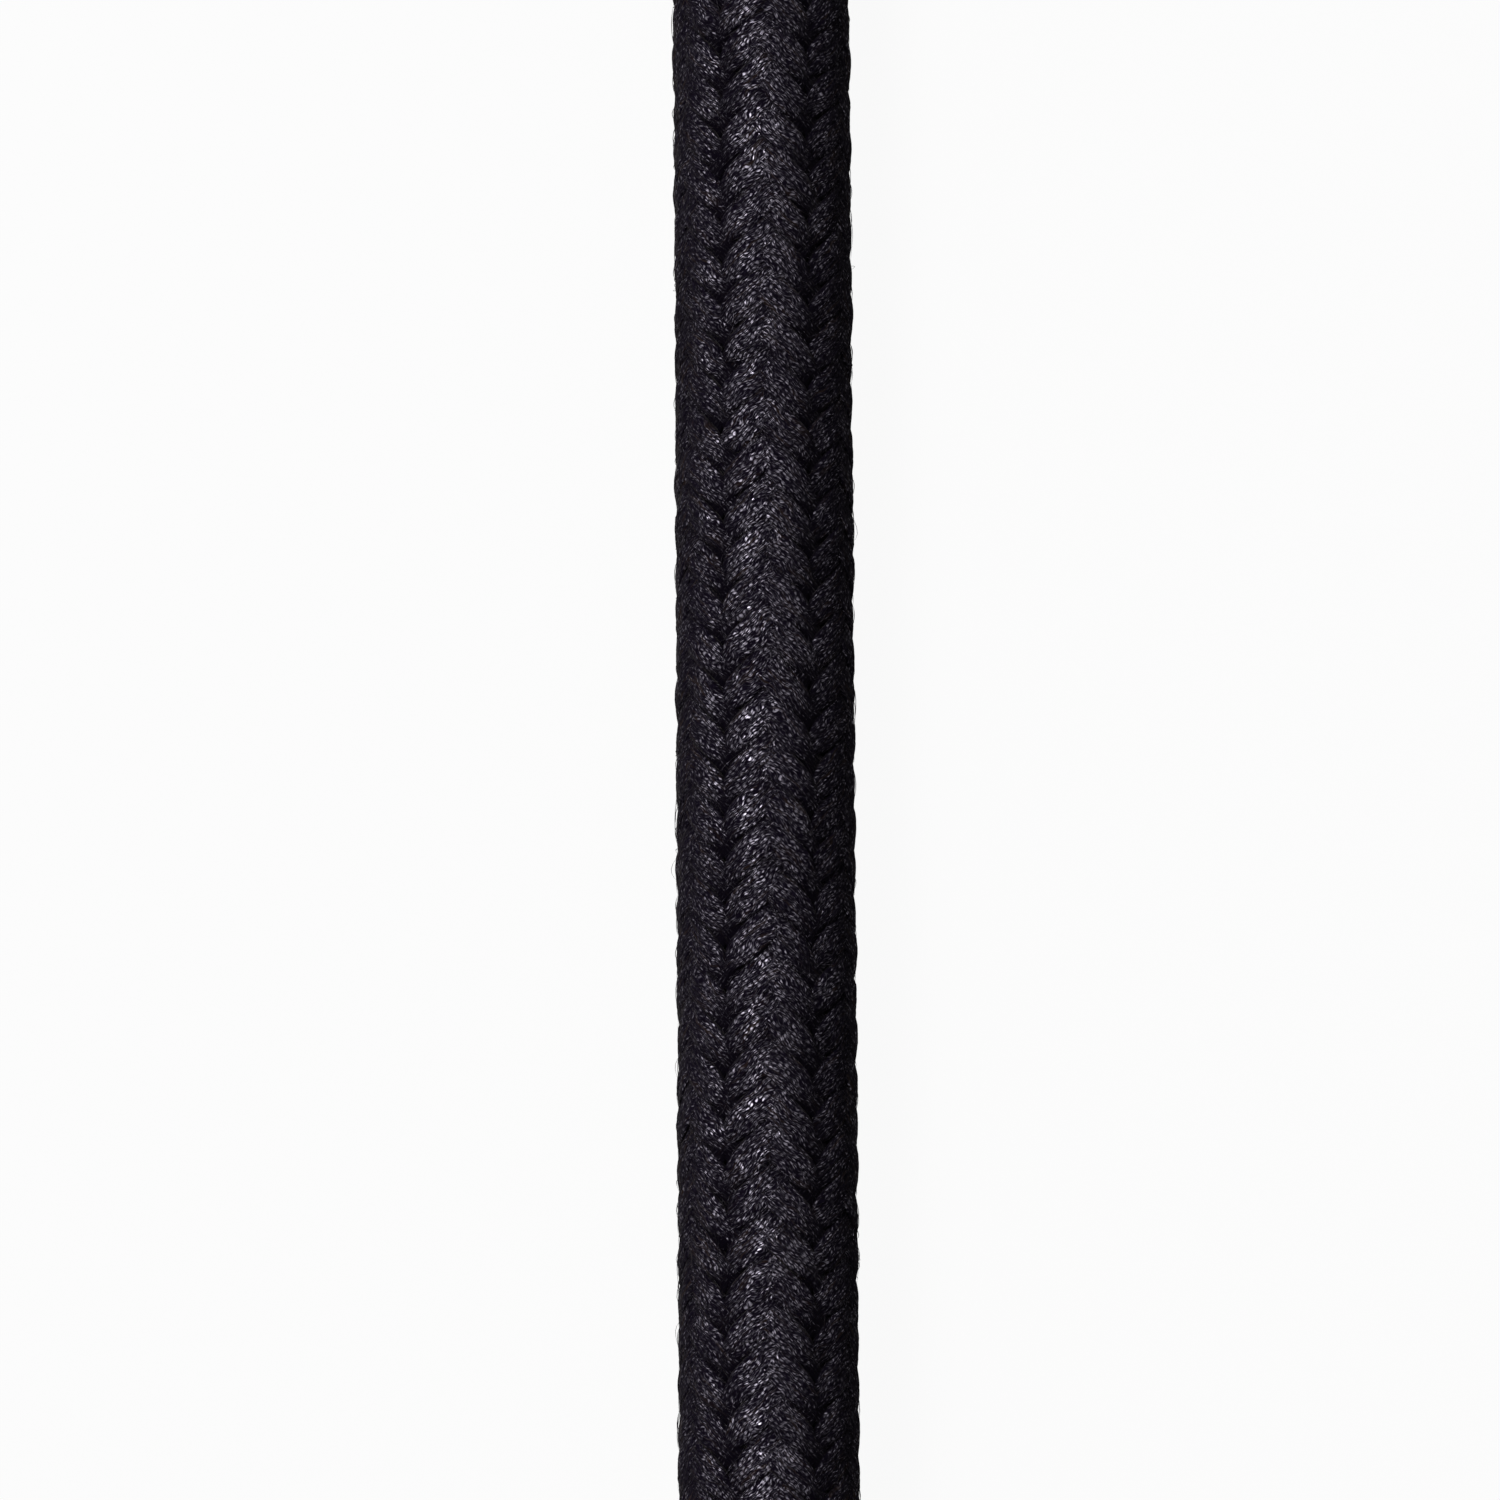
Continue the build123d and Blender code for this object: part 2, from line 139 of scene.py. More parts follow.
def metal(name, colour, worn, roughness, grain, marks=0.4, wear=0.35):
    """Plated or bare metal. worn is the colour where edges are rubbed. grain stretches its fine
    marks: large along an axis means many marks along it."""
    look = Look(name)
    place = look.place()
    turned = look.noise(look.scaled(place, *grain), 1.0, 3.0, 0.6)
    cloudy = look.noise(place, 420.0, 3.0, 0.55)
    scratch = look.noise(look.scaled(place, 900.0, 260.0, 5200.0), 1.0, 2.0, 0.7)
    scratches = look.range(scratch, 0.66, 0.74)
    clouded = look.range(cloudy, 0.35, 0.7, 0.0, 0.12)
    dull = look.math("ADD", clouded, look.math("MULTIPLY", scratches, 0.1))
    dull = look.math("ADD", dull, look.range(turned, 0.3, 0.7, -0.04, 0.06))
    edge = look.add("NewGeometry").outputs["Pointiness"]
    rubbed = look.math("MULTIPLY", look.range(edge, 0.53, 0.6), look.range(cloudy, 0.42, 0.62))
    tarnish = look.range(look.noise(place, 95.0, 4.0, 0.6), 0.45, 0.75, 0.0, 0.5)
    dim = tuple(c * 0.72 for c in colour[:3]) + (1.0,)
    shade = look.mix(tarnish, colour, dim)
    dents = look.bump(scratches, 0.000006, 0.25, look.bump(cloudy, 0.00004, 0.03))
    look.set(
        Base_Color=look.mix(look.math("MULTIPLY", rubbed, wear), shade, worn),
        Metallic=1.0,
        Roughness=look.math("ADD", dull, roughness, clamp=True),
        Normal=look.bump(turned, 0.000012, marks, dents),
    )
    return look.material


NICKEL = (0.66, 0.635, 0.585, 1.0)
BRASS = (0.62, 0.43, 0.17, 1.0)
RUBBED_BRASS = (0.72, 0.53, 0.25, 1.0)
STEEL = (0.48, 0.47, 0.455, 1.0)
DARK_STEEL = (0.22, 0.21, 0.21, 1.0)
RINGS = (60.0, 9000.0, 60.0)  # fine marks round a piece that lies along Y
UPRIGHT_RINGS = (60.0, 60.0, 9000.0)  # and round one that stands

nickel = metal("nickel_turned", NICKEL, BRASS, 0.17, RINGS)
nickel_flat = metal("nickel_polished", NICKEL, BRASS, 0.15, (350.0, 350.0, 2600.0), 0.25)
nickel_upright = metal("nickel_turned_upright", NICKEL, BRASS, 0.17, UPRIGHT_RINGS)
steel = metal("steel_drawn", STEEL, DARK_STEEL, 0.26, (2500.0, 60.0, 2500.0), 0.3)
brass = metal("brass_turned", BRASS, RUBBED_BRASS, 0.24, RINGS)

YARN_DARK = (0.0027, 0.0019, 0.0042, 1.0)
YARN_LIGHT = (0.0064, 0.0045, 0.0104, 1.0)
# painted shade: the yarn's colour down in the pockets between the bundles, darker than on their
# tops
YARN_POCKET_SHADE = (0.0026, 0.0019, 0.0038, 1.0)  # down in the pockets between the bundles
YARN_WARM = (0.024, 0.015, 0.010, 1.0)  # a few faded yarns
# painted glints: the colour of the fibres' glints, mixed into the yarn's colour
YARN_PAINTED_GLINT = (0.47, 0.435, 0.525, 1.0)


def braided_yarn():
    """Black rayon yarn. Glints are painted into its colour, and shade is painted into the pockets
    between the bundles and towards its outline. The map named yarn holds millimetres along and
    across each carrier's bundle, and the attribute named rise how far out a point is, from 0 to 1."""
    look = Look("black_braid_yarn")
    yarn = look.add("UVMap", {"uv_map": "yarn"}).outputs[0]
    place = look.place()

    def streaks(spot, along, across, detail=1.0, rough=0.5):
        """Noise drawn out along the yarn, at so many grains per millimetre along and across it."""
        return look.noise(look.scaled(spot, along, across, 1.0), 1.0, detail, rough, "2D")

    bent = look.math("MULTIPLY", streaks(yarn, 1.3, 2.5), 0.30)
    curled = look.math("MULTIPLY", streaks(yarn, 5.0, 4.0), 0.05)
    aside = look.add("CombineXYZ", None, {1: look.math("ADD", bent, curled)}).outputs[0]
    yarn = look.add("VectorMath", {"operation": "ADD"}, {0: yarn, 1: aside}).outputs[0]
    filaments = streaks(yarn, 5.5, 30.0, 2.0, 0.6)
    strands = streaks(yarn, 1.1, 7.0)
    hairs = streaks(yarn, 6.5, 40.0, 1.0, 0.6)
    cells = {"Vector": look.scaled(yarn, 6.5, 32.0, 1.0), "Scale": 1.0}
    sparks = look.add("TexVoronoi", {"voronoi_dimensions": "2D"}, cells)
    chance = look.add("SeparateColor", None, {0: sparks.outputs["Color"]}).outputs[0]
    spots = look.range(sparks.outputs["Distance"], 0.45, 0.1)
    # the fibres' glints, as dots and lines: painted into the colour as painted highlights, and
    # also made metallic so that they gloss
    dots = look.math("MULTIPLY", spots, look.range(chance, 0.58, 1.0))
    lines = look.math("POWER", look.range(hairs, 0.52, 0.74), 1.3)
    glint = look.math("ADD", look.math("MULTIPLY", lines, 0.26), look.math("MULTIPLY", dots, 2.0))
    patches = look.noise(place, 1700.0, 2.0, 0.6)
    # random patches where the painted glints are stronger or weaker
    painted_glint_patches = look.range(patches, 0.34, 0.64, 0.30, 0.94)
    rise = look.add("Attribute", {"attribute_name": "rise"}).outputs["Fac"]
    # 0 down in the pockets and 1 on the bundles' tops, read from rise; it paints shade into the
    # pockets, in the colour and by taking the glints out there
    out_of_pocket_shade = look.range(rise, 0.66, 0.97)
    # painted shade: lit dims the painted glints, in colour and in metallic, in the pockets, in
    # random patches, and towards the outline where the surface turns away from the view
    turned_away = look.add("LayerWeight", None, {"Blend": 0.5}).outputs["Facing"]
    lit = look.math("MULTIPLY", painted_glint_patches, out_of_pocket_shade)
    lit = look.math("MULTIPLY", lit, look.range(turned_away, 0.05, 0.42, 1.0, 0.20))
    glint = look.math("MULTIPLY", glint, lit, True)
    warm = look.range(streaks(yarn, 0.7, 11.0), 0.62, 0.75)
    base = look.mix(look.range(filaments, 0.32, 0.70), YARN_DARK, YARN_LIGHT)
    base = look.mix(look.math("MULTIPLY", warm, 0.5), base, YARN_WARM)
    # painted shade: the colour goes to the darker pocket colour where rise is low
    base = look.mix(out_of_pocket_shade, YARN_POCKET_SHADE, base)
    # painted glints: lighter grey dashes in the colour
    base = look.mix(glint, base, YARN_PAINTED_GLINT)
    look.set(
        Base_Color=base,
        Metallic=look.range(glint, 0.0, 0.6, 0.0, 0.8),
        Roughness=look.range(patches, 0.3, 0.7, 0.30, 0.42),
        Specular_IOR_Level=0.0,
        Sheen_Weight=0.055,
        Sheen_Roughness=0.4,
        Sheen_Tint=(0.79, 0.73, 0.72, 1.0),
        Normal=look.bump(filaments, 0.00005, 0.6, look.bump(strands, 0.00009, 0.6)),
    )
    return look.material


def under_braid():
    """The waxed lining that the bundles lie on, seen only in the pockets between them."""
    look = Look("black_braid_lining")
    weave = look.noise(look.place(), 9000.0, 2.0, 0.5)
    look.set(
        Base_Color=look.mix(weave, (0.0022, 0.002, 0.0026, 1.0), (0.006, 0.0055, 0.0065, 1.0)),
        Roughness=0.8,
        Specular_IOR_Level=0.2,
        Normal=look.bump(weave, 0.00003, 0.5),
    )
    return look.material


yarn_look = braided_yarn()
lining_look = under_braid()

# ---------------------------------------------------------------- meshes


def show(name, vertices, faces, look, body, sharp=SHARP_EDGE):
    """A named mesh object that rides on a body of the frame, or, with no body, on none."""
    mesh = bpy.data.meshes.new(name)
    mesh.from_pydata(vertices, [], faces)
    mesh.validate()
    tidy = bmesh.new()
    tidy.from_mesh(mesh)
    bmesh.ops.remove_doubles(tidy, verts=tidy.verts, dist=1e-7)
    bmesh.ops.recalc_face_normals(tidy, faces=tidy.faces)
    tidy.to_mesh(mesh)
    tidy.free()
    mesh.materials.append(look)
    mesh.polygons.foreach_set("use_smooth", [True] * len(mesh.polygons))
    mesh.set_sharp_from_angle(angle=sharp)
    piece = bpy.data.objects.new(name, mesh)
    root.objects.link(piece)
    if body:
        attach(piece, body)
    return piece


class Turned:
    """The axis of a turned piece: where station 0 is, which way the stations run, and two
    directions across."""

    def __init__(self, origin, along, across):
        self.origin = np.array(origin)
        self.along = np.array(along, float)
        self.across = np.array(across, float)
        self.up = np.cross(self.along, self.across)

    def span(self, node):
        """Stations, in millimetres, of a CAD node's two ends."""
        away = [np.array(corner) - self.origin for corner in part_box(node)]
        ends = [float(np.dot(corner, self.along)) / MM for corner in away]
        return min(ends), max(ends)


def middle(node):
    """The middle of a CAD node's box."""
    low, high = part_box(node)
    return (low + high) / 2


button_low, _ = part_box("thumb_button")
_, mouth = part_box("tip_ferrule")
tip_middle = middle("tip_ferrule")
handle_axis = Turned((0, button_low.y, middle("barrel").z), (0, 1, 0), (1, 0, 0))
tip_axis = Turned((tip_middle.x, mouth.y, tip_middle.z), (0, -1, 0), (1, 0, 0))
screw_axis = Turned((0, middle("lock_screw").y, 0), (0, 0, 1), (1, 0, 0))


def between(start, end, count):
    """count points from start up to, and without, end."""
    start, end = np.array(start), np.array(end)
    return [tuple(start + (end - start) * k / count) for k in range(count)]


def soften(outline, radius, steps=4):
    """Rounds the corners of a closed outline, as far as its sides allow."""
    points = []
    corners = np.array(outline)
    for before, here, after in zip(np.roll(corners, 1, 0), corners, np.roll(corners, -1, 0)):
        back, on = before - here, after - here
        reach = min(radius, 0.4 * np.linalg.norm(back), 0.4 * np.linalg.norm(on))
        back, on = back / np.linalg.norm(back), on / np.linalg.norm(on)
        if here[1] < 1e-6 or abs(np.dot(back, on)) > 0.995:
            points.append(tuple(here))
            continue
        for k in range(steps + 1):
            t = k / steps
            points.append(tuple(here + reach * (back * (1 - t) ** 2 + on * t**2)))
    return points


def turn(
    name, axis, outline, look, body, sides=96, relief=None, sharp=SHARP_EDGE, stands_for=None
):
    """Turns a closed outline of (station, radius) points round an axis.
    relief(stations, radii, angles) gives how far the surface moves outwards, in millimetres."""
    stations, radii = np.array(outline).T
    angles = np.linspace(0, FULL_TURN, sides, endpoint=False)
    s, a = np.meshgrid(stations, angles, indexing="ij")
    r = np.repeat(radii[:, None], sides, axis=1)
    if relief is not None:
        r = np.where(r > 1e-6, r + relief(s, r, a), r)
    place = (
        axis.origin
        + MM * s[..., None] * axis.along
        + MM * (r * np.cos(a))[..., None] * axis.across
        + MM * (r * np.sin(a))[..., None] * axis.up
    )
    count = len(outline)
    faces = []
    for i in range(count):
        j = (i + 1) % count
        if radii[i] < 1e-6 and radii[j] < 1e-6:
            continue
        for k in range(sides):
            m = (k + 1) % sides
            faces.append((i * sides + k, i * sides + m, j * sides + m, j * sides + k))
    piece = show(name, place.reshape(-1, 3).tolist(), faces, look, body, sharp)
    if stands_for:
        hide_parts(stands_for)
    return piece


def peak(x):
    """A pointed wave from 0 to 1 with period 1."""
    return np.abs(2 * (x - np.floor(x)) - 1)


def inside(value, low, high, fade):
    """1 between low and high, fading to 0 outside them."""
    return np.clip(np.minimum(value - low, high - value) / fade, 0, 1)


def groove(s, centre, width, depth):
    """A rounded groove round the piece."""
    return -depth * np.clip(1 - ((s - centre) / (width / 2)) ** 2, 0, 1)


# ---------------------------------------------------------------- cable


def route_line():
    """Points of the route's own smooth line, as Blender gives them."""
    curve = bpy.data.curves.new("route", "CURVE")
    curve.dimensions = "3D"
    curve.resolution_u = 48
    spline = curve.splines.new("NURBS")
    spline.points.add(len(ROUTE) - 1)
    for point, spot in zip(spline.points, ROUTE):
        point.co = (*spot, 1.0)
    spline.order_u = 3
    spline.use_endpoint_u = True
    spline.resolution_u = 48
    holder = bpy.data.objects.new("route", curve)
    mesh = bpy.data.meshes.new_from_object(holder)
    points = [tuple(vertex.co) for vertex in mesh.vertices]
    bpy.data.meshes.remove(mesh)
    bpy.data.objects.remove(holder)
    bpy.data.curves.remove(curve)
    return points


LINE_STEP = 0.25 * MM


class Line:
    """A smooth line that can be read at any length along it."""

    def __init__(self, points):
        points = np.array(points)
        steps = np.linalg.norm(np.diff(points, axis=0), axis=1)
        lengths = np.concatenate([[0], np.cumsum(steps)])
        self.length = lengths[-1]
        self.at = np.linspace(0, self.length, int(self.length / LINE_STEP))
        self.point = np.stack([np.interp(self.at, lengths, points[:, i]) for i in range(3)], 1)
        tangent = np.gradient(self.point, self.at, axis=0)
        tangent /= np.linalg.norm(tangent, axis=1)[:, None]
        up = np.array([0.0, 0.0, 1.0]) - tangent[:, 2:3] * tangent
        up /= np.linalg.norm(up, axis=1)[:, None]
        self.up = up
        self.side = np.cross(tangent, up)

    def place(self, along, angle, radius):
        """Points at those lengths, angles from the top and distances from the line."""
        centre, up, side = (
            np.stack([np.interp(along, self.at, rows[:, i]) for i in range(3)], -1)
            for rows in (self.point, self.up, self.side)
        )
        out = up * np.cos(angle)[..., None] + side * np.sin(angle)[..., None]
        return centre + radius[..., None] * out


line_points = route_line()
line = Line(line_points)

CARRIERS = 12  # bundles each way
LEAD = 14.45 * MM  # length of cable in which a bundle goes once round
NEAR_YARNS = 8  # yarns side by side in a bundle, where it is looked at closely
FAR_YARNS = 2
NEAR_RINGS = 96  # rings of points of a bundle for each of its turns
FAR_RINGS = 40
BUNDLE_WIDTH = 0.98 * MM
BUNDLE_HALF = 0.115 * MM  # half a bundle's thickness
YARN_RELIEF = 0.035 * MM  # how far the yarns of a bundle stand out from the gaps between them
WEAVE = 0.058 * MM  # how far a bundle goes out and in as it passes over and under
MEAN_RADIUS = 2.356 * MM
LINING_RADIUS = 2.08 * MM
SLANT = math.atan2(FULL_TURN * 2.4 * MM, LEAD)  # between a bundle and the cable's line
OVER_AT = {1: 0.5, -1: 2.5}  # the crossing at which a bundle of each way is on top
LEAN = 0.32  # share of a crossing by which the bundles rise sooner than they dive
TOP_SHIFT = 0.15  # crossings from the herringbone's ridge to the top of the cable
CLOSE_START = 0.192  # the stretch of cable that is looked at closely
CLOSE_END = 0.2445


def drift(count, step, reach):
    """count values that wander smoothly, changing over step values."""
    knots = draws.normal(0, reach, int(count / step) + 3)
    return np.interp(np.arange(count) / step, np.arange(len(knots)), knots)


def crossings(angle):
    """Which crossing of the bundles lies at that angle round the cable."""
    return 2 * CARRIERS * angle / FULL_TURN + TOP_SHIFT - 0.5


def stretches():
    """Lengths along the cable where a bundle's rings are, closer together in the near stretch."""
    near, far = LEAD / NEAR_RINGS, LEAD / FAR_RINGS
    first = np.append(np.arange(0, CLOSE_START, far), CLOSE_START)
    second = np.append(np.arange(CLOSE_START, CLOSE_END, near), CLOSE_END)
    third = np.append(np.arange(CLOSE_END, line.length, far), line.length)
    return first, second, third


def bundle(way, number, along, yarns, wanders):
    """Rings of points of one bundle over one stretch of cable: their places, their coordinates in
    the yarn map, and their rise. With wanders the yarns show, and nothing runs quite straight."""
    count = len(along)
    angle = way * FULL_TURN * along / LEAD + FULL_TURN * number / CARRIERS
    past = way * (crossings(angle) - OVER_AT[way])
    swing = np.cos(FULL_TURN * (past + LEAN) / 4)
    swing = np.tanh(1.2 * swing) / math.tanh(1.2)
    dive = np.clip(np.sin(FULL_TURN * past / 4), 0, 1) ** 3
    tops = 2 * yarns + 1
    top = np.linspace(-1, 1, tops)
    across = np.concatenate([top, [0.62, 0.0, -0.62]])
    crown = np.concatenate([(1 - np.abs(top) ** 5) ** 0.5, [-0.75, -1.0, -0.75]])
    ridge = np.zeros(tops + 3)
    ridge[1:tops:2] = 1.0
    radius = MEAN_RADIUS + WEAVE * swing
    height = BUNDLE_HALF * crown[None, :] + wanders * YARN_RELIEF * (ridge[None, :] - 0.5)
    stray = np.zeros((count, tops + 3))
    if wanders:
        for k in range(tops + 3):
            stray[:, k] = drift(count, NEAR_RINGS / 24, 0.008 * MM)
        radius = radius + drift(count, NEAR_RINGS / 12, 0.009 * MM)
        stray += across[None, :] * drift(count, NEAR_RINGS / 12, 0.035 * MM)[:, None]
        angle = angle + drift(count, NEAR_RINGS / 10, 0.016)
    width = BUNDLE_WIDTH / 2 * (1 - 0.36 * dive)
    offset = across[None, :] * width[:, None]
    spread_angle = angle[:, None] + way * offset * math.cos(SLANT) / radius[:, None]
    spread_along = np.clip(along[:, None] - offset * math.sin(SLANT), 0, line.length)
    place = line.place(spread_along, spread_angle, radius[:, None] + height + stray)
    walked = along / math.cos(SLANT) / MM
    u = np.repeat(walked[:, None], tops + 4, axis=1)
    v = np.concatenate([offset, offset[:, :1]], axis=1) / MM
    v[:, tops:] = [0.9, 1.2, 1.5, 1.9]
    v += 7.3 * (number + (0 if way > 0 else CARRIERS))
    depth = MEAN_RADIUS - WEAVE - BUNDLE_HALF
    rise = (radius[:, None] + height - depth) / (2 * WEAVE + 2 * BUNDLE_HALF)
    return place, np.stack([u, v], -1), rise


FIBRE_PLACE = 2.45 * MM  # distance of the single fibres from the cable's line
FIBRE_RISE = 0.9
FIBRE_RINGS = np.linspace(0, 1, 7)


def fibres(count, thick, lengths, lifts):
    """Single fibres that lie on the bundles of the near stretch, or stand a little off them.
    thick is in metres, lengths and lifts are ranges in millimetres."""
    t = FIBRE_RINGS
    corners = FULL_TURN * np.arange(3) / 3
    for _ in range(count):
        way = draws.choice((-1, 1))
        number = draws.integers(CARRIERS)
        start = draws.uniform(CLOSE_START, CLOSE_END)
        angle = way * FULL_TURN * start / LEAD + FULL_TURN * number / CARRIERS
        past = crossings(angle) - OVER_AT[way]
        length = draws.uniform(*lengths) * MM
        heading = SLANT * way + draws.normal(0, 0.28)
        curl, offset = draws.normal(0, 0.35), draws.uniform(-0.52, 0.52) * MM
        lift = draws.uniform(*lifts) * MM
        over = math.cos(FULL_TURN * past / 4)
        progress = way * ((past + 2) % 4 - 2)
        if over < 0.1 or progress > 0.4 or math.cos(angle) < -0.3:
            continue
        walk = length * (t - 0.5)
        aside = offset + curl * length * (t - 0.5) ** 2
        along = start + walk * math.cos(heading) - aside * math.sin(heading)
        around = angle + (walk * math.sin(heading) + aside * math.cos(heading)) / FIBRE_PLACE
        radius = MEAN_RADIUS + WEAVE + 0.85 * BUNDLE_HALF + lift * np.sin(math.pi * t)
        radius -= 0.03 * MM * (2 * t - 1) ** 2
        girth = thick * np.maximum(np.sin(math.pi * t), 0.15)[:, None]
        across = girth * np.cos(corners)
        ring_along = along[:, None] - across * math.sin(heading)
        ring_angle = around[:, None] + across * math.cos(heading) / FIBRE_PLACE
        place = line.place(ring_along, ring_angle, radius[:, None] + girth * np.sin(corners))
        u = np.repeat(walk[:, None] / MM + 50 * draws.random(), 4, axis=1)
        v = np.repeat(np.array([[0.0, 0.02, 0.04, 0.06]]) + 50 * draws.random(), len(t), axis=0)
        yield place, np.stack([u, v], -1), np.full(place.shape[:2], FIBRE_RISE)


def skin(count, around, first=0):
    """Quads of an open tube of count rings, each of around points, numbered from first."""
    i, k = np.meshgrid(np.arange(count - 1), np.arange(around), indexing="ij")
    m = (k + 1) % around
    here, ahead = i * around, (i + 1) * around
    return np.stack([here + k, here + m, ahead + m, ahead + k], -1).reshape(-1, 4) + first


YARN, LINING = 0, 1  # places in the braid's list of materials


def braid():
    """The whole braid: 24 bundles and their single fibres over a lining. Gives its points, quads,
    map coordinates, materials and rises."""
    places, quads, maps, kinds, rises = [], [], [], [], []
    total = 0

    def take(place, uv, rise, kind=YARN):
        nonlocal total
        count, around = place.shape[:2]
        faces = skin(count, around, total)
        places.append(place.reshape(-1, 3))
        quads.append(faces)
        i, k = np.meshgrid(np.arange(count - 1), np.arange(around), indexing="ij")
        corners = [uv[i, k], uv[i, k + 1], uv[i + 1, k + 1], uv[i + 1, k]]
        maps.append(np.stack(corners, 2).reshape(-1, 2))
        kinds.append(np.full(len(faces), kind))
        rises.append(rise.ravel())
        total += count * around

    first, second, third = stretches()
    for way in (1, -1):
        for number in range(CARRIERS):
            take(*bundle(way, number, first, FAR_YARNS, False))
            take(*bundle(way, number, second, NEAR_YARNS, True))
            take(*bundle(way, number, third, FAR_YARNS, False))
    for fibre in fibres(14000, 0.011 * MM, (0.6, 1.8), (-0.03, 0.045)):
        take(*fibre)
    for fibre in fibres(260, 0.007 * MM, (0.8, 2.2), (0.04, 0.16)):
        take(*fibre)
    around, step = 20, 1.2 * MM
    along = np.linspace(0, line.length, int(line.length / step))
    ring = np.linspace(0, FULL_TURN, around, endpoint=False)
    s, a = np.meshgrid(along, ring, indexing="ij")
    place = line.place(s, a, np.full(s.shape, LINING_RADIUS))
    take(place, np.zeros((len(along), around + 1, 2)), np.zeros(s.shape), LINING)
    return tuple(np.concatenate(rows) for rows in (places, quads, maps, kinds, rises))


def braid_piece():
    """The braid as one piece."""
    place, quads, uv, kinds, rises = braid()
    mesh = bpy.data.meshes.new("braided_sleeve")
    mesh.vertices.add(len(place))
    mesh.vertices.foreach_set("co", place.astype(np.float32).ravel())
    mesh.loops.add(quads.size)
    mesh.loops.foreach_set("vertex_index", quads.astype(np.int32).ravel())
    mesh.polygons.add(len(quads))
    mesh.polygons.foreach_set("loop_start", np.arange(0, quads.size, 4, dtype=np.int32))
    mesh.polygons.foreach_set("material_index", kinds.astype(np.int32))
    mesh.update(calc_edges=True)
    rise = mesh.attributes.new("rise", "FLOAT", "POINT")
    rise.data.foreach_set("value", rises.astype(np.float32))
    layer = mesh.uv_layers.new(name="yarn")
    layer.uv.foreach_set("vector", uv.astype(np.float32).ravel())
    mesh.materials.append(yarn_look)
    mesh.materials.append(lining_look)
    mesh.polygons.foreach_set("use_smooth", [True] * len(quads))
    piece = bpy.data.objects.new("braided_sleeve", mesh)
    root.objects.link(piece)
    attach(piece, "handle")
    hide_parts("cable_braid")
    return piece


sleeve = braid_piece()

# ---------------------------------------------------------------- handle

ROD_HOLE = 0.92  # radius of the button's hole, round the rod
RIVET_SEAT = 1.42  # radius of the flat under the rivet's head
SEAT_DEPTH = 0.8
TUBE_POCKET = 3.22  # radius of the hub's pocket, round the sleeve
POCKET_FLOOR = 1.9


def ring_cut(r):
    """Depth of the three fine rings turned in the button's face."""
    return sum(0.07 * max(0.0, 1 - abs(r - centre) / 0.16) for centre in (2.5, 3.5, 4.5))


def dish(r):
    """Station of the button's hollow face at radius r."""
    return 0.78 * (1 - ((r - 1.6) / 3.8) ** 2) + ring_cut(r)


_, hub_end = handle_axis.span("thumb_button")
button_outline = [
    (SEAT_DEPTH, ROD_HOLE),
    (SEAT_DEPTH, RIVET_SEAT),
    *between((SEAT_DEPTH, RIVET_SEAT), (0.72, 1.9), 2)[1:],
    *[(dish(r), r) for r in np.linspace(1.9, 5.35, 58)],
    (0.0, 5.62),
    (0.02, 6.0),
    (0.18, 6.33),
    (0.42, 6.47),
    (0.75, 6.5),
    *between((0.85, 6.5), (1.95, 6.5), 6),
    (2.05, 6.48),
    (2.3, 6.38),
    (2.5, 6.1),
    (2.6, 5.6),
    (2.6, 4.45),
    (2.68, 4.28),
    (2.9, 4.2),
    (hub_end - 0.2, 4.2),
    (hub_end - 0.04, 4.12),
    (hub_end, 3.95),
    (hub_end, TUBE_POCKET),
    (POCKET_FLOOR, TUBE_POCKET),
    (POCKET_FLOOR, ROD_HOLE),
]


def coin_edge(start, end, teeth, depth):
    """Straight knurling between two stations."""

    def relief(s, r, a):
        return -depth * peak(teeth * a / FULL_TURN) ** 0.8 * inside(s, start, end, 0.12)

    return relief


def button_relief(s, r, a):
    return np.where(r > 6.4, coin_edge(0.85, 1.95, 56, 0.13)(s, r, a), 0.0)


turn(
    "thumb_button_turned", handle_axis, button_outline, nickel, "plunger",
    sides=336, relief=button_relief, stands_for="thumb_button",
)

tube_start, tube_end = handle_axis.span("plunger_tube")
tube_outline = soften(
    [
        (tube_start, 2.6),
        (tube_start, 3.2),
        (tube_end - 1.65, 3.2),
        (tube_end - 1.65, 3.75),
        (tube_end, 3.75),
        (tube_end, 2.6),
    ],
    0.08,
    2,
)
turn(
    "plunger_sleeve", handle_axis, tube_outline, steel, "plunger",
    stands_for="plunger_tube",
)

ROD_RADIUS = 0.9
RIVET_RADIUS = 1.4
RIVET_HEIGHT = 0.4
WIRE_SEAT = 0.62  # radius of the hole that holds the wire's end, in the rod and in the pin
rod_start, rod_end = handle_axis.span("plunger_rod")
rivet_head = [
    (rod_start + RIVET_HEIGHT * (1 - math.cos(t)), RIVET_RADIUS * math.sin(t))
    for t in np.linspace(0, math.pi / 2, 9)
]
rod_outline = [
    *rivet_head,
    (SEAT_DEPTH, ROD_RADIUS),
    (rod_end - 0.1, ROD_RADIUS),
    (rod_end, 0.8),
    (rod_end, WIRE_SEAT),
    (rod_end - 3, WIRE_SEAT),
    (rod_end - 3, 0),
]
turn(
    "plunger_rod_riveted", handle_axis, rod_outline, steel, "plunger",
    sides=48, stands_for="plunger_rod",
)


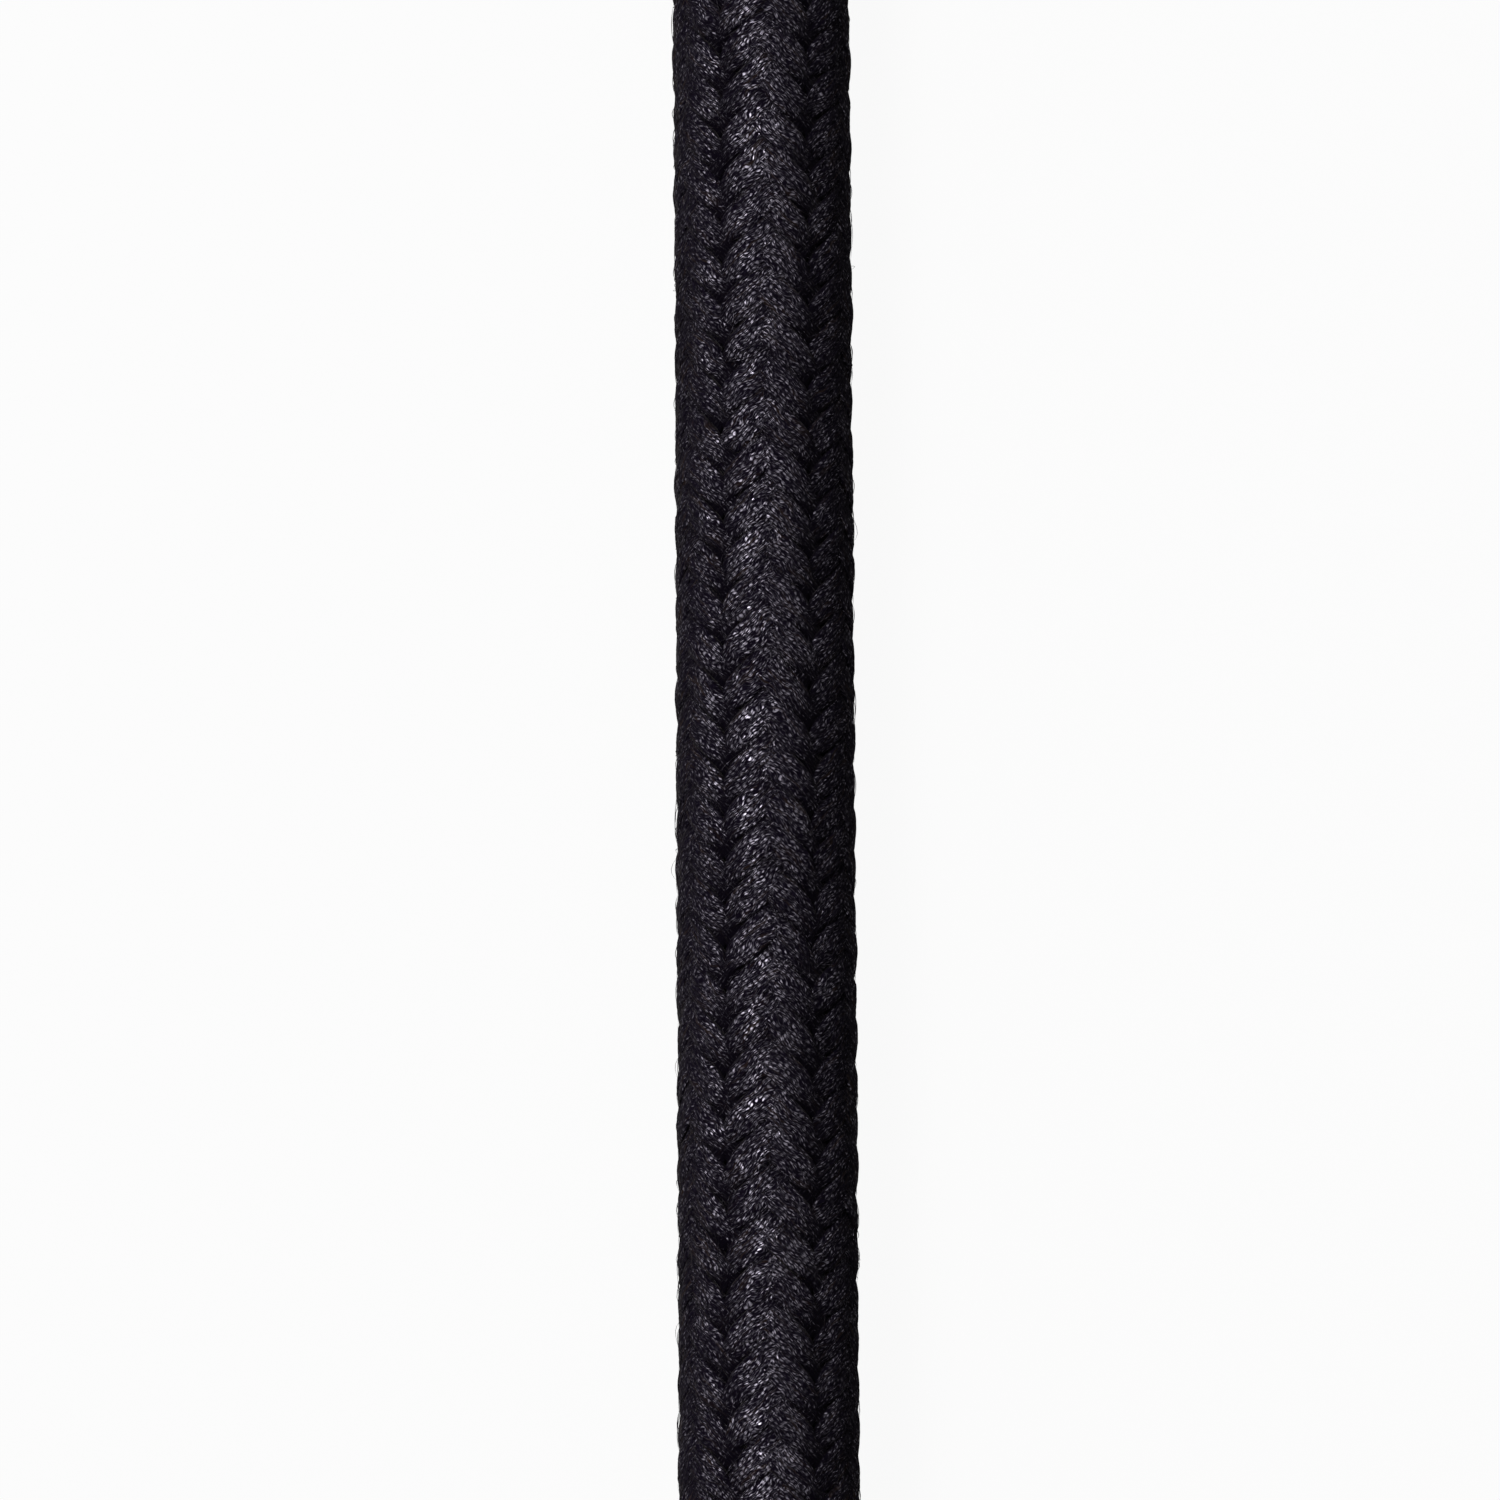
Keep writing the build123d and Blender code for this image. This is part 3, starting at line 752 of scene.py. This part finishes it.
def coiled_spring(turns=7, wire=0.3, mean=3.05, closed=0.64):
    """The return spring. wire and mean are radii, and closed the length of the turn at each end
    that is closed."""
    first, last = handle_axis.span("return_spring")
    low, high = first + wire + 0.02, last - wire - 0.02
    ring_count, around = turns * 28 + 1, 10
    turn_at = np.linspace(0, turns, ring_count)
    stations = [low, low + closed, high - closed, high]
    station = np.interp(turn_at, [0, 1, turns - 1, turns], stations)
    angle = FULL_TURN * turn_at
    out = np.cos(angle)[:, None] * handle_axis.across + np.sin(angle)[:, None] * handle_axis.up
    centre = handle_axis.origin + MM * station[:, None] * handle_axis.along + MM * mean * out
    ahead = np.gradient(centre, axis=0)
    ahead /= np.linalg.norm(ahead, axis=1)[:, None]
    beside = np.cross(ahead, out)
    corner = np.linspace(0, FULL_TURN, around, endpoint=False)[None, :, None]
    ring = np.cos(corner) * out[:, None] + np.sin(corner) * beside[:, None]
    place = centre[:, None] + MM * wire * ring
    faces = skin(ring_count, around).tolist()
    faces += [list(range(around)), list(range((ring_count - 1) * around, ring_count * around))]
    vertices = place.reshape(-1, 3).tolist()
    piece = show("return_spring_coiled", vertices, faces, steel, None)
    ends = [tuple(handle_axis.origin + MM * s * handle_axis.along) for s in stations[1:3]]
    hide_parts("return_spring")
    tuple(ends[0])
    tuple(ends[1])
    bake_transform(piece)


coiled_spring()

GUIDE_BORE = 3.25  # radius of the nut's bore, round the sleeve
GUIDE_END = 18.45
SPIGOT_HOLE = 4.37  # radius of the holes round the barrel's spigot, in the nut and in the plate
head_start, head_end = handle_axis.span("barrel_head")
head_outline = [
    (head_start, GUIDE_BORE),
    (head_start, 4.5),
    (head_start + 0.12, 4.72),
    (head_start + 0.6, 5.5),
    (head_start + 0.8, 5.66),
    (head_start + 1.05, 5.7),
    *between((head_start + 1.1, 5.7), (head_end - 0.25, 5.7), 56),
    (head_end - 0.2, 5.7),
    (head_end - 0.05, 5.62),
    (head_end, 5.5),
    (head_end, SPIGOT_HOLE),
    (GUIDE_END, SPIGOT_HOLE),
    (GUIDE_END, GUIDE_BORE),
]


def head_relief(s, r, a):
    shape = groove(s, head_start + 1.35, 0.28, 0.16) + groove(s, head_end - 0.55, 0.28, 0.16)
    shape = shape + coin_edge(17.5, 21.1, 64, 0.14)(s, r, a) + groove(s, 17.3, 0.28, 0.16)
    return np.where(r > 5.6, shape, 0.0)


barrel_head_piece = turn(
    "barrel_head_knurled", handle_axis, head_outline, nickel, "handle",
    sides=192, relief=head_relief, stands_for="barrel_head",
)


def bore(piece, axis, low, high, radius):
    """Cuts a round hole in a piece, between two stations of an axis."""
    hole = [(low, 0), (low, radius), (high, radius), (high, 0)]
    cutter = turn("bore_cutter", axis, hole, nickel, "handle", sides=48)
    cut = piece.modifiers.new("bore", "BOOLEAN")
    cut.operation, cut.solver, cut.object = "DIFFERENCE", "EXACT", cutter
    bpy.context.view_layer.update()
    cut_piece = piece.evaluated_get(bpy.context.evaluated_depsgraph_get())
    result = bpy.data.meshes.new_from_object(cut_piece)
    piece.modifiers.clear()
    piece.data = result
    result.set_sharp_from_angle(angle=SHARP_EDGE)
    bpy.data.objects.remove(cutter)


SCREW_HOLE = 1.32
handle_height = handle_axis.origin[2] / MM
bore(barrel_head_piece, screw_axis, handle_height + 2.6, handle_height + 6.4, SCREW_HOLE)

BARREL_LENGTH = 26.0  # of its thick part
BARREL_BORE = 3.8
BARREL_RADIUS = 4.9
SPIGOT_RADIUS = 4.35
barrel_start, barrel_end = handle_axis.span("barrel")
shoulder = barrel_end - BARREL_LENGTH
barrel_outline = [
    (barrel_start, BARREL_BORE),
    (barrel_start, SPIGOT_RADIUS),
    (shoulder, SPIGOT_RADIUS),
    (shoulder, 4.55),
    (shoulder + 0.1, 4.78),
    (shoulder + 0.3, BARREL_RADIUS),
    *between((shoulder + 0.4, BARREL_RADIUS), (shoulder + 3.4, BARREL_RADIUS), 40),
    *between((shoulder + 3.4, BARREL_RADIUS), (barrel_end - 3.4, BARREL_RADIUS), 10),
    *between((barrel_end - 3.4, BARREL_RADIUS), (barrel_end - 0.1, BARREL_RADIUS), 44),
    (barrel_end - 0.06, 4.86),
    (barrel_end, 4.8),
    (barrel_end, BARREL_BORE),
]


def barrel_relief(s, r, a):
    """Two grooves near each end."""
    rings = sum(groove(s, shoulder + x, 0.36, 0.14) for x in (1.5, 2.3))
    rings = rings + sum(groove(s, barrel_end - x, 0.36, 0.14) for x in (1.5, 2.3))
    return np.where(r > 4.8, rings, 0.0)


turn(
    "barrel_turned", handle_axis, barrel_outline, nickel, "handle",
    sides=128, relief=barrel_relief, stands_for="barrel",
)

STEM_LENGTH = 4.0
STEM_HOLE = 2.62
neck_start, neck_end = handle_axis.span("neck")
stem_start = neck_end - STEM_LENGTH
flare = [
    (barrel_end + 0.55 + 9.2 * t, 3.42 + 1.3 * (1 - t) ** 1.35) for t in np.linspace(0, 1, 24)
]
neck_outline = [
    (stem_start, 1.1),
    (neck_start, 1.1),
    (neck_start, 3.78),
    (barrel_end, 3.78),
    (barrel_end, 4.82),
    (barrel_end + 0.1, BARREL_RADIUS),
    (barrel_end + 0.38, BARREL_RADIUS),
    (barrel_end + 0.5, 4.84),
    *flare,
    (neck_end - 0.12, 3.36),
    (neck_end, 3.28),
    (neck_end, STEM_HOLE),
    (stem_start, STEM_HOLE),
]
turn(
    "neck_flared", handle_axis, neck_outline, nickel, "handle",
    sides=112, stands_for="neck",
)


def crimped(centres, jaws, depth):
    """Rings pressed by a crimping tool, a little deeper under each of its jaws."""

    def relief(s, r, a):
        press = 0.82 + 0.18 * np.cos(jaws * a)
        rows = sum(np.exp(-(((s - centre) / 0.5) ** 2)) for centre in centres)
        return np.where(r > 3.1, -depth * rows * press, 0.0)

    return relief


FERRULE_RADIUS = 3.3
BRAID_POCKET = 2.52  # radius of the ferrules' pockets, round the braid
CONDUIT_SEAT = 1.52  # radius of their bores round the conduit
CRIMP_JAWS = 6
CRIMP_DEPTH = 0.27
ferrule_start, ferrule_end = handle_axis.span("handle_ferrule")
floor_station = ferrule_end - 10.0
ferrule_outline = [
    (floor_station, BRAID_POCKET),
    (ferrule_end - 0.5, BRAID_POCKET),
    (ferrule_end - 0.12, 2.58),
    (ferrule_end, 2.76),
    (ferrule_end - 0.04, 3.0),
    (ferrule_end - 0.16, 3.2),
    (ferrule_end - 0.4, FERRULE_RADIUS),
    *between((ferrule_end - 0.5, FERRULE_RADIUS), (neck_end + 0.1, FERRULE_RADIUS), 64),
    (neck_end + 0.1, FERRULE_RADIUS),
    (neck_end, 3.2),
    (neck_end, 2.6),
    (ferrule_start, 2.6),
    (ferrule_start, 0.8),
    (floor_station - 5.0, 0.8),
    (floor_station - 5.0, CONDUIT_SEAT),
    (floor_station, CONDUIT_SEAT),
]
crimps = crimped((floor_station + 7.5, floor_station + 3.5), CRIMP_JAWS, CRIMP_DEPTH)
turn(
    "handle_ferrule_crimped", handle_axis, ferrule_outline, nickel, "handle",
    sides=96, relief=crimps, stands_for="handle_ferrule",
)

# ---------------------------------------------------------------- finger plate


def flat_oval(wing, half_height, count):
    """count points of an outline that is straight above and below, with an arc at each end."""
    bulge = ((wing / 2) ** 2 + half_height**2) / wing
    centre = wing - bulge
    reach = math.atan2(half_height, wing / 2 - centre)
    corners = []
    for k in range(count):
        f = k / count * 4
        side, f = int(f), f - int(f)
        a = -reach + 2 * reach * f
        if side == 0:
            corners.append((centre + bulge * math.cos(a), bulge * math.sin(a)))
        elif side == 1:
            corners.append((wing / 2 - wing * f, half_height))
        elif side == 2:
            corners.append((-centre - bulge * math.cos(a), -bulge * math.sin(a)))
        else:
            corners.append((-wing / 2 + wing * f, -half_height))
    return np.array(corners)


def finger_plate():
    """Two swept wings with rounded edges, round the barrel's spigot."""
    start, _ = handle_axis.span("finger_plate")
    root_x, wing, sweep, thick, half_height = 5.7, 13.5, 2.2, 2.4, 6.5
    curve = ((wing - root_x) ** 2 + sweep**2) / (2 * sweep)  # radius that the wings are swept to
    edge = 0.62  # how far in from the outline the rounding of the edges starts
    count, steps = 160, 18

    def front(x):
        u = np.clip(np.abs(x) - root_x, 0, None)
        return curve - np.sqrt(np.maximum(curve**2 - u**2, 0))

    def back(x):
        u = np.clip(np.abs(x) - root_x, 0, None)
        return thick + 0.09852 * u + 0.0109 * u**2

    rim = flat_oval(wing, half_height, count)
    outwards = rim / np.linalg.norm(rim, axis=1)[:, None]
    hole, inward = SPIGOT_HOLE * outwards, rim - edge * outwards
    rings = []
    for share in np.linspace(0, 1, steps):
        flat = hole + (inward - hole) * share
        rings.append((flat, front(flat[:, 0])))
    for k in range(1, 16):
        a = math.pi * k / 16
        flat = inward + (rim - inward) * math.sin(a)
        middle_y = (front(flat[:, 0]) + back(flat[:, 0])) / 2
        half_y = (back(flat[:, 0]) - front(flat[:, 0])) / 2
        rounded = math.copysign(abs(math.cos(a)) ** 0.7, math.cos(a))
        rings.append((flat, middle_y - half_y * rounded))
    for share in np.linspace(1, 0, steps):
        flat = hole + (inward - hole) * share
        rings.append((flat, back(flat[:, 0])))
    vertices, faces = [], []
    for flat, depth in rings:
        for (x, z), y in zip(flat, depth):
            vertices.append(tuple(handle_axis.origin + MM * np.array([x, start + y, z])))
    for i in range(len(rings)):
        j = (i + 1) % len(rings)
        for k in range(count):
            m = (k + 1) % count
            faces.append((i * count + k, i * count + m, j * count + m, j * count + k))
    piece = show("finger_plate_winged", vertices, faces, nickel_flat, "handle", 0.9)
    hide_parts("finger_plate")


finger_plate()

# ---------------------------------------------------------------- lock screw

STEM_RADIUS = 1.2
KNOB_RADIUS = 3.0
KNOB_HEIGHT = 3.0
KNURL_TEETH = 30
SCREW_PITCH = 0.45
screw_low, screw_high = screw_axis.span("lock_screw")
knob_low, knob_edge = screw_high - KNOB_HEIGHT, screw_high - 0.55


def screw_relief(s, r, a):
    turned = a / FULL_TURN
    thread = -0.2 * peak(s / SCREW_PITCH - turned) * inside(s, screw_low, knob_low - 0.1, 0.15)
    knurl = -0.2 * peak(KNURL_TEETH * turned) ** 0.8 * inside(s, knob_low + 0.3, knob_edge, 0.15)
    threaded = (r > 1.1) & (s < knob_low - 0.02)
    return np.where(r > 2.8, knurl, np.where(threaded, thread, 0.0))


screw_outline = [
    (screw_low, 0),
    (screw_low, 1.0),
    *between((screw_low + 0.1, STEM_RADIUS), (knob_low - 0.02, STEM_RADIUS), 46),
    (knob_low, STEM_RADIUS),
    (knob_low, 2.2),
    (knob_low + 0.1, 2.62),
    (knob_low + 0.28, 2.95),
    *between((knob_low + 0.3, KNOB_RADIUS), (knob_edge, KNOB_RADIUS), 14),
    (screw_high - 0.52, 2.98),
    (screw_high - 0.36, 2.82),
    (screw_high - 0.3, 2.5),
    (screw_high - 0.22, 2.42),
    *[(screw_high - 0.22 * (r / 2.4) ** 2, r) for r in (2.3, 1.9, 1.4, 0.9, 0.4)],
    (screw_high, 0),
]
turn(
    "lock_screw_knurled", screw_axis, screw_outline, nickel_upright, "lock_screw",
    sides=180, relief=screw_relief, stands_for="lock_screw",
)

# ---------------------------------------------------------------- tip

RING_START, RING_END = 14.95, 15.75  # the groove for the snap ring, in the neck and the collar
PIN_BORE = 1.2
COLLAR_BORE = 2.35
COLLAR_RADIUS = 3.8
FLANGE_HOLE = 2.72
FLANGE_RADIUS = 2.7
_, tip_ferrule_end = tip_axis.span("tip_ferrule")
tip_ferrule_outline = [
    (9.0, BRAID_POCKET),
    (0.5, BRAID_POCKET),
    (0.12, 2.58),
    (0.0, 2.76),
    (0.04, 3.0),
    (0.16, 3.2),
    (0.4, FERRULE_RADIUS),
    *between((0.5, FERRULE_RADIUS), (10.5, FERRULE_RADIUS), 64),
    (10.62, 3.26),
    (10.7, 3.15),
    (10.7, 2.3),
    (RING_START, 2.3),
    (RING_START, 1.93),
    (RING_END, 1.93),
    (RING_END, 2.3),
    (tip_ferrule_end, 2.3),
    (tip_ferrule_end, PIN_BORE),
    (11.0, PIN_BORE),
    (11.0, CONDUIT_SEAT),
    (9.0, CONDUIT_SEAT),
]
turn(
    "tip_ferrule_crimped", tip_axis, tip_ferrule_outline, nickel, "handle",
    sides=96, relief=crimped((2.25, 5.85), CRIMP_JAWS, CRIMP_DEPTH), stands_for="tip_ferrule",
)

collar_start, collar_end = tip_axis.span("swivel_collar")


def collar_relief(s, r, a):
    """Crossed knurling between two grooves."""
    teeth = 40
    left = peak(teeth * a / FULL_TURN + s / 0.9)
    right = peak(teeth * a / FULL_TURN - s / 0.9)
    cut = 0.15 * (1 - np.minimum(np.minimum(left, right) * 1.9, 1.0))
    zone = inside(s, collar_start + 1.7, collar_end - 1.7, 0.15)
    rings = groove(s, collar_start + 1.4, 0.34, 0.16) + groove(s, collar_end - 1.4, 0.34, 0.16)
    return np.where(r > 3.7, -cut * zone + rings, 0.0)


collar_outline = [
    (collar_start, COLLAR_BORE),
    (collar_start, 3.15),
    (collar_start + 0.08, 3.3),
    (collar_start + 0.5, 3.7),
    (collar_start + 0.75, 3.79),
    *between((collar_start + 0.9, COLLAR_RADIUS), (collar_end - 0.9, COLLAR_RADIUS), 92),
    (collar_end - 0.75, 3.79),
    (collar_end - 0.5, 3.7),
    (collar_end - 0.08, 3.3),
    (collar_end, 3.15),
    (collar_end, FLANGE_HOLE),
    (18.2, FLANGE_HOLE),
    (18.2, COLLAR_BORE),
    (RING_END, COLLAR_BORE),
    (RING_END, 2.7),
    (RING_START, 2.7),
    (RING_START, COLLAR_BORE),
]
turn(
    "swivel_collar_knurled", tip_axis, collar_outline, nickel, "tip_swivel",
    sides=240, relief=collar_relief, stands_for="swivel_collar",
)

THREAD_PITCH = 0.5
NOSE_LENGTH = 0.5
NOSE_BORE = 0.75
nozzle_start, nose_end = tip_axis.span("tip_nozzle")
thread_end = nose_end - NOSE_LENGTH


def nozzle_relief(s, r, a):
    ridges = -0.24 * peak(s / THREAD_PITCH - a / FULL_TURN)
    ridges = ridges * inside(s, collar_end + 0.1, thread_end - 0.05, 0.3)
    return np.where((r > 1.6) & (s > collar_end), ridges, 0.0)


def cone(s):
    """Radius over the nozzle's thread, which narrows towards the nose."""
    return 1.925 - 0.25 * (s - collar_end) / (thread_end - collar_end)


nozzle_outline = [
    (nozzle_start, PIN_BORE),
    (nozzle_start, FLANGE_RADIUS),
    (collar_end - 0.1, FLANGE_RADIUS),
    (collar_end, 2.6),
    (collar_end, cone(collar_end)),
    *[(s, cone(s)) for s in np.linspace(collar_end + 0.03, thread_end, 110)],
    (thread_end + 0.04, 1.45),
    (nose_end - 0.14, 1.43),
    (nose_end, 1.3),
    (nose_end, NOSE_BORE),
    (22.6, NOSE_BORE),
    (22.6, PIN_BORE),
]
turn(
    "tip_nozzle_threaded", tip_axis, nozzle_outline, nickel, "tip_swivel",
    sides=96, relief=nozzle_relief, sharp=0.9, stands_for="tip_nozzle",
)

PIN_RADIUS = 0.7
PIN_HEAD = 1.0
tail_start, pin_end = tip_axis.span("release_pin")
pin_outline = [
    (tail_start, 0),
    (tail_start, WIRE_SEAT),
    (11.4, WIRE_SEAT),
    (11.4, PIN_HEAD),
    (14.4, PIN_HEAD),
    (14.4, PIN_RADIUS),
    (pin_end - 0.25, PIN_RADIUS),
    (pin_end - 0.12, 0.65),
    (pin_end - 0.03, 0.5),
    (pin_end, 0.3),
    (pin_end, 0),
]
turn(
    "release_pin_turned", tip_axis, pin_outline, steel, "release_pin",
    sides=48, stands_for="release_pin",
)

# ---------------------------------------------------------------- camera, light and background

EYE_DISTANCE = 0.18
EYE_TILT = math.radians(6.5)
VIEW_WIDTH = 0.04213  # what the camera sees across the cable
SENSOR = 36
LOOKED_AT = Vector((0.06202, 0.043, 0.0026))
camera_data = bpy.data.cameras.new("camera")
camera_data.sensor_width = SENSOR
camera_data.lens = SENSOR * EYE_DISTANCE / VIEW_WIDTH
camera_data.clip_start = 0.005
camera = bpy.data.objects.new("camera", camera_data)
root.objects.link(camera)
camera.location = LOOKED_AT + EYE_DISTANCE * Vector((0, -math.sin(EYE_TILT), math.cos(EYE_TILT)))
camera.rotation_euler = (EYE_TILT, 0, 0)
bpy.context.scene.camera = camera


def softbox(name, spot, target, size, watts):
    """A flat lamp at a spot, turned towards its target."""
    light = bpy.data.lights.new(name, "AREA")
    light.shape = "RECTANGLE"
    light.size, light.size_y = size
    light.energy = watts
    lamp = bpy.data.objects.new(name, light)
    root.objects.link(lamp)
    lamp.location = spot
    lamp.rotation_euler = (Vector(target) - Vector(spot)).to_track_quat("-Z", "Y").to_euler()


softbox("key", (-0.23, 0.30, 0.57), (0.05, 0.05, 0.0), (0.24, 0.24), 4.2)
softbox("side", (-0.52, 0.05, 0.30), (0.05, 0.04, 0.0), (0.25, 0.4), 0.7)

# The world is white to the camera, and lights the object more from above than from the sides
world = bpy.data.worlds.new("studio")
bpy.context.scene.world = world
world.use_nodes = True
tree = world.node_tree
background = tree.nodes["Background"]
rays = tree.nodes.new("ShaderNodeLightPath")
seen = tree.nodes.new("ShaderNodeMath")
seen.operation = "MAXIMUM"
tree.links.new(rays.outputs["Is Camera Ray"], seen.inputs[0])
tree.links.new(rays.outputs["Is Transmission Ray"], seen.inputs[1])
direction = tree.nodes.new("ShaderNodeTexCoord")
parts = tree.nodes.new("ShaderNodeSeparateXYZ")
tree.links.new(direction.outputs["Generated"], parts.inputs[0])
height = tree.nodes.new("ShaderNodeMapRange")
for socket, value in enumerate((0.0, 0.9, 0.05, 0.22), 1):
    height.inputs[socket].default_value = value
tree.links.new(parts.outputs["Z"], height.inputs[0])
level = tree.nodes.new("ShaderNodeMix")
level.inputs[3].default_value = 1.0
tree.links.new(seen.outputs[0], level.inputs[0])
tree.links.new(height.outputs[0], level.inputs[2])
tree.links.new(level.outputs[0], background.inputs["Strength"])
background.inputs["Color"].default_value = (1, 1, 1, 1)


def floor_look():
    """Pale paper that shows white in the view and in reflections, but for the shadows on it."""
    look = Look("floor_white")
    paper = look.noise(look.place(), 700.0, 3.0, 0.5)
    look.set(
        Base_Color=look.mix(paper, (0.52, 0.52, 0.52, 1.0), (0.56, 0.56, 0.56, 1.0)),
        Roughness=0.7,
        Specular_IOR_Level=0.2,
    )
    path = look.add("LightPath")
    shown = look.math("MAXIMUM", path.outputs["Is Camera Ray"], path.outputs["Is Glossy Ray"])
    shown = look.math("MAXIMUM", shown, path.outputs["Is Transmission Ray"])
    glow = look.add("Emission", None, {"Color": (1, 1, 1, 1), "Strength": 1.0})
    away = look.add("VectorMath", {"operation": "LENGTH"}, {0: look.place()}).outputs["Value"]
    whiteness = look.range(away, 0.15, 0.8, 0.94, 1.0)
    blend = look.add("MixShader", None, {0: look.math("MULTIPLY", shown, whiteness)})
    look.tree.links.new(look.shader.outputs[0], blend.inputs[1])
    look.tree.links.new(glow.outputs[0], blend.inputs[2])
    look.tree.links.new(blend.outputs[0], look.tree.nodes["Material Output"].inputs["Surface"])
    return look.material


FLOOR_HALF = 3.0
FLOOR_DROP = 0.05 * MM  # keeps the floor off the faces that rest on it
floor_mesh = bpy.data.meshes.new("floor")
corners = ((-1, -1), (1, -1), (1, 1), (-1, 1))
floor_corners = [(x * FLOOR_HALF, y * FLOOR_HALF, 0) for x, y in corners]
floor_mesh.from_pydata(floor_corners, [], [(0, 1, 2, 3)])
floor_mesh.materials.append(floor_look())
floor = bpy.data.objects.new("floor", floor_mesh)
floor.location.z = -FLOOR_DROP
root.objects.link(floor)

# The CAD nodes that stay as they are get their finish
CARRIED_OVER = {
    "wire_head": steel,
    "wire_tail": steel,
    "conduit_head": steel,
    "conduit_tail": steel,
    "snap_ring": steel,
    "lock_pad": brass,
}
for name, look in CARRIED_OVER.items():
    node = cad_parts[name]
    node.data.materials.clear()
    node.data.materials.append(look)

bpy.context.scene.view_settings.view_transform = "Standard"
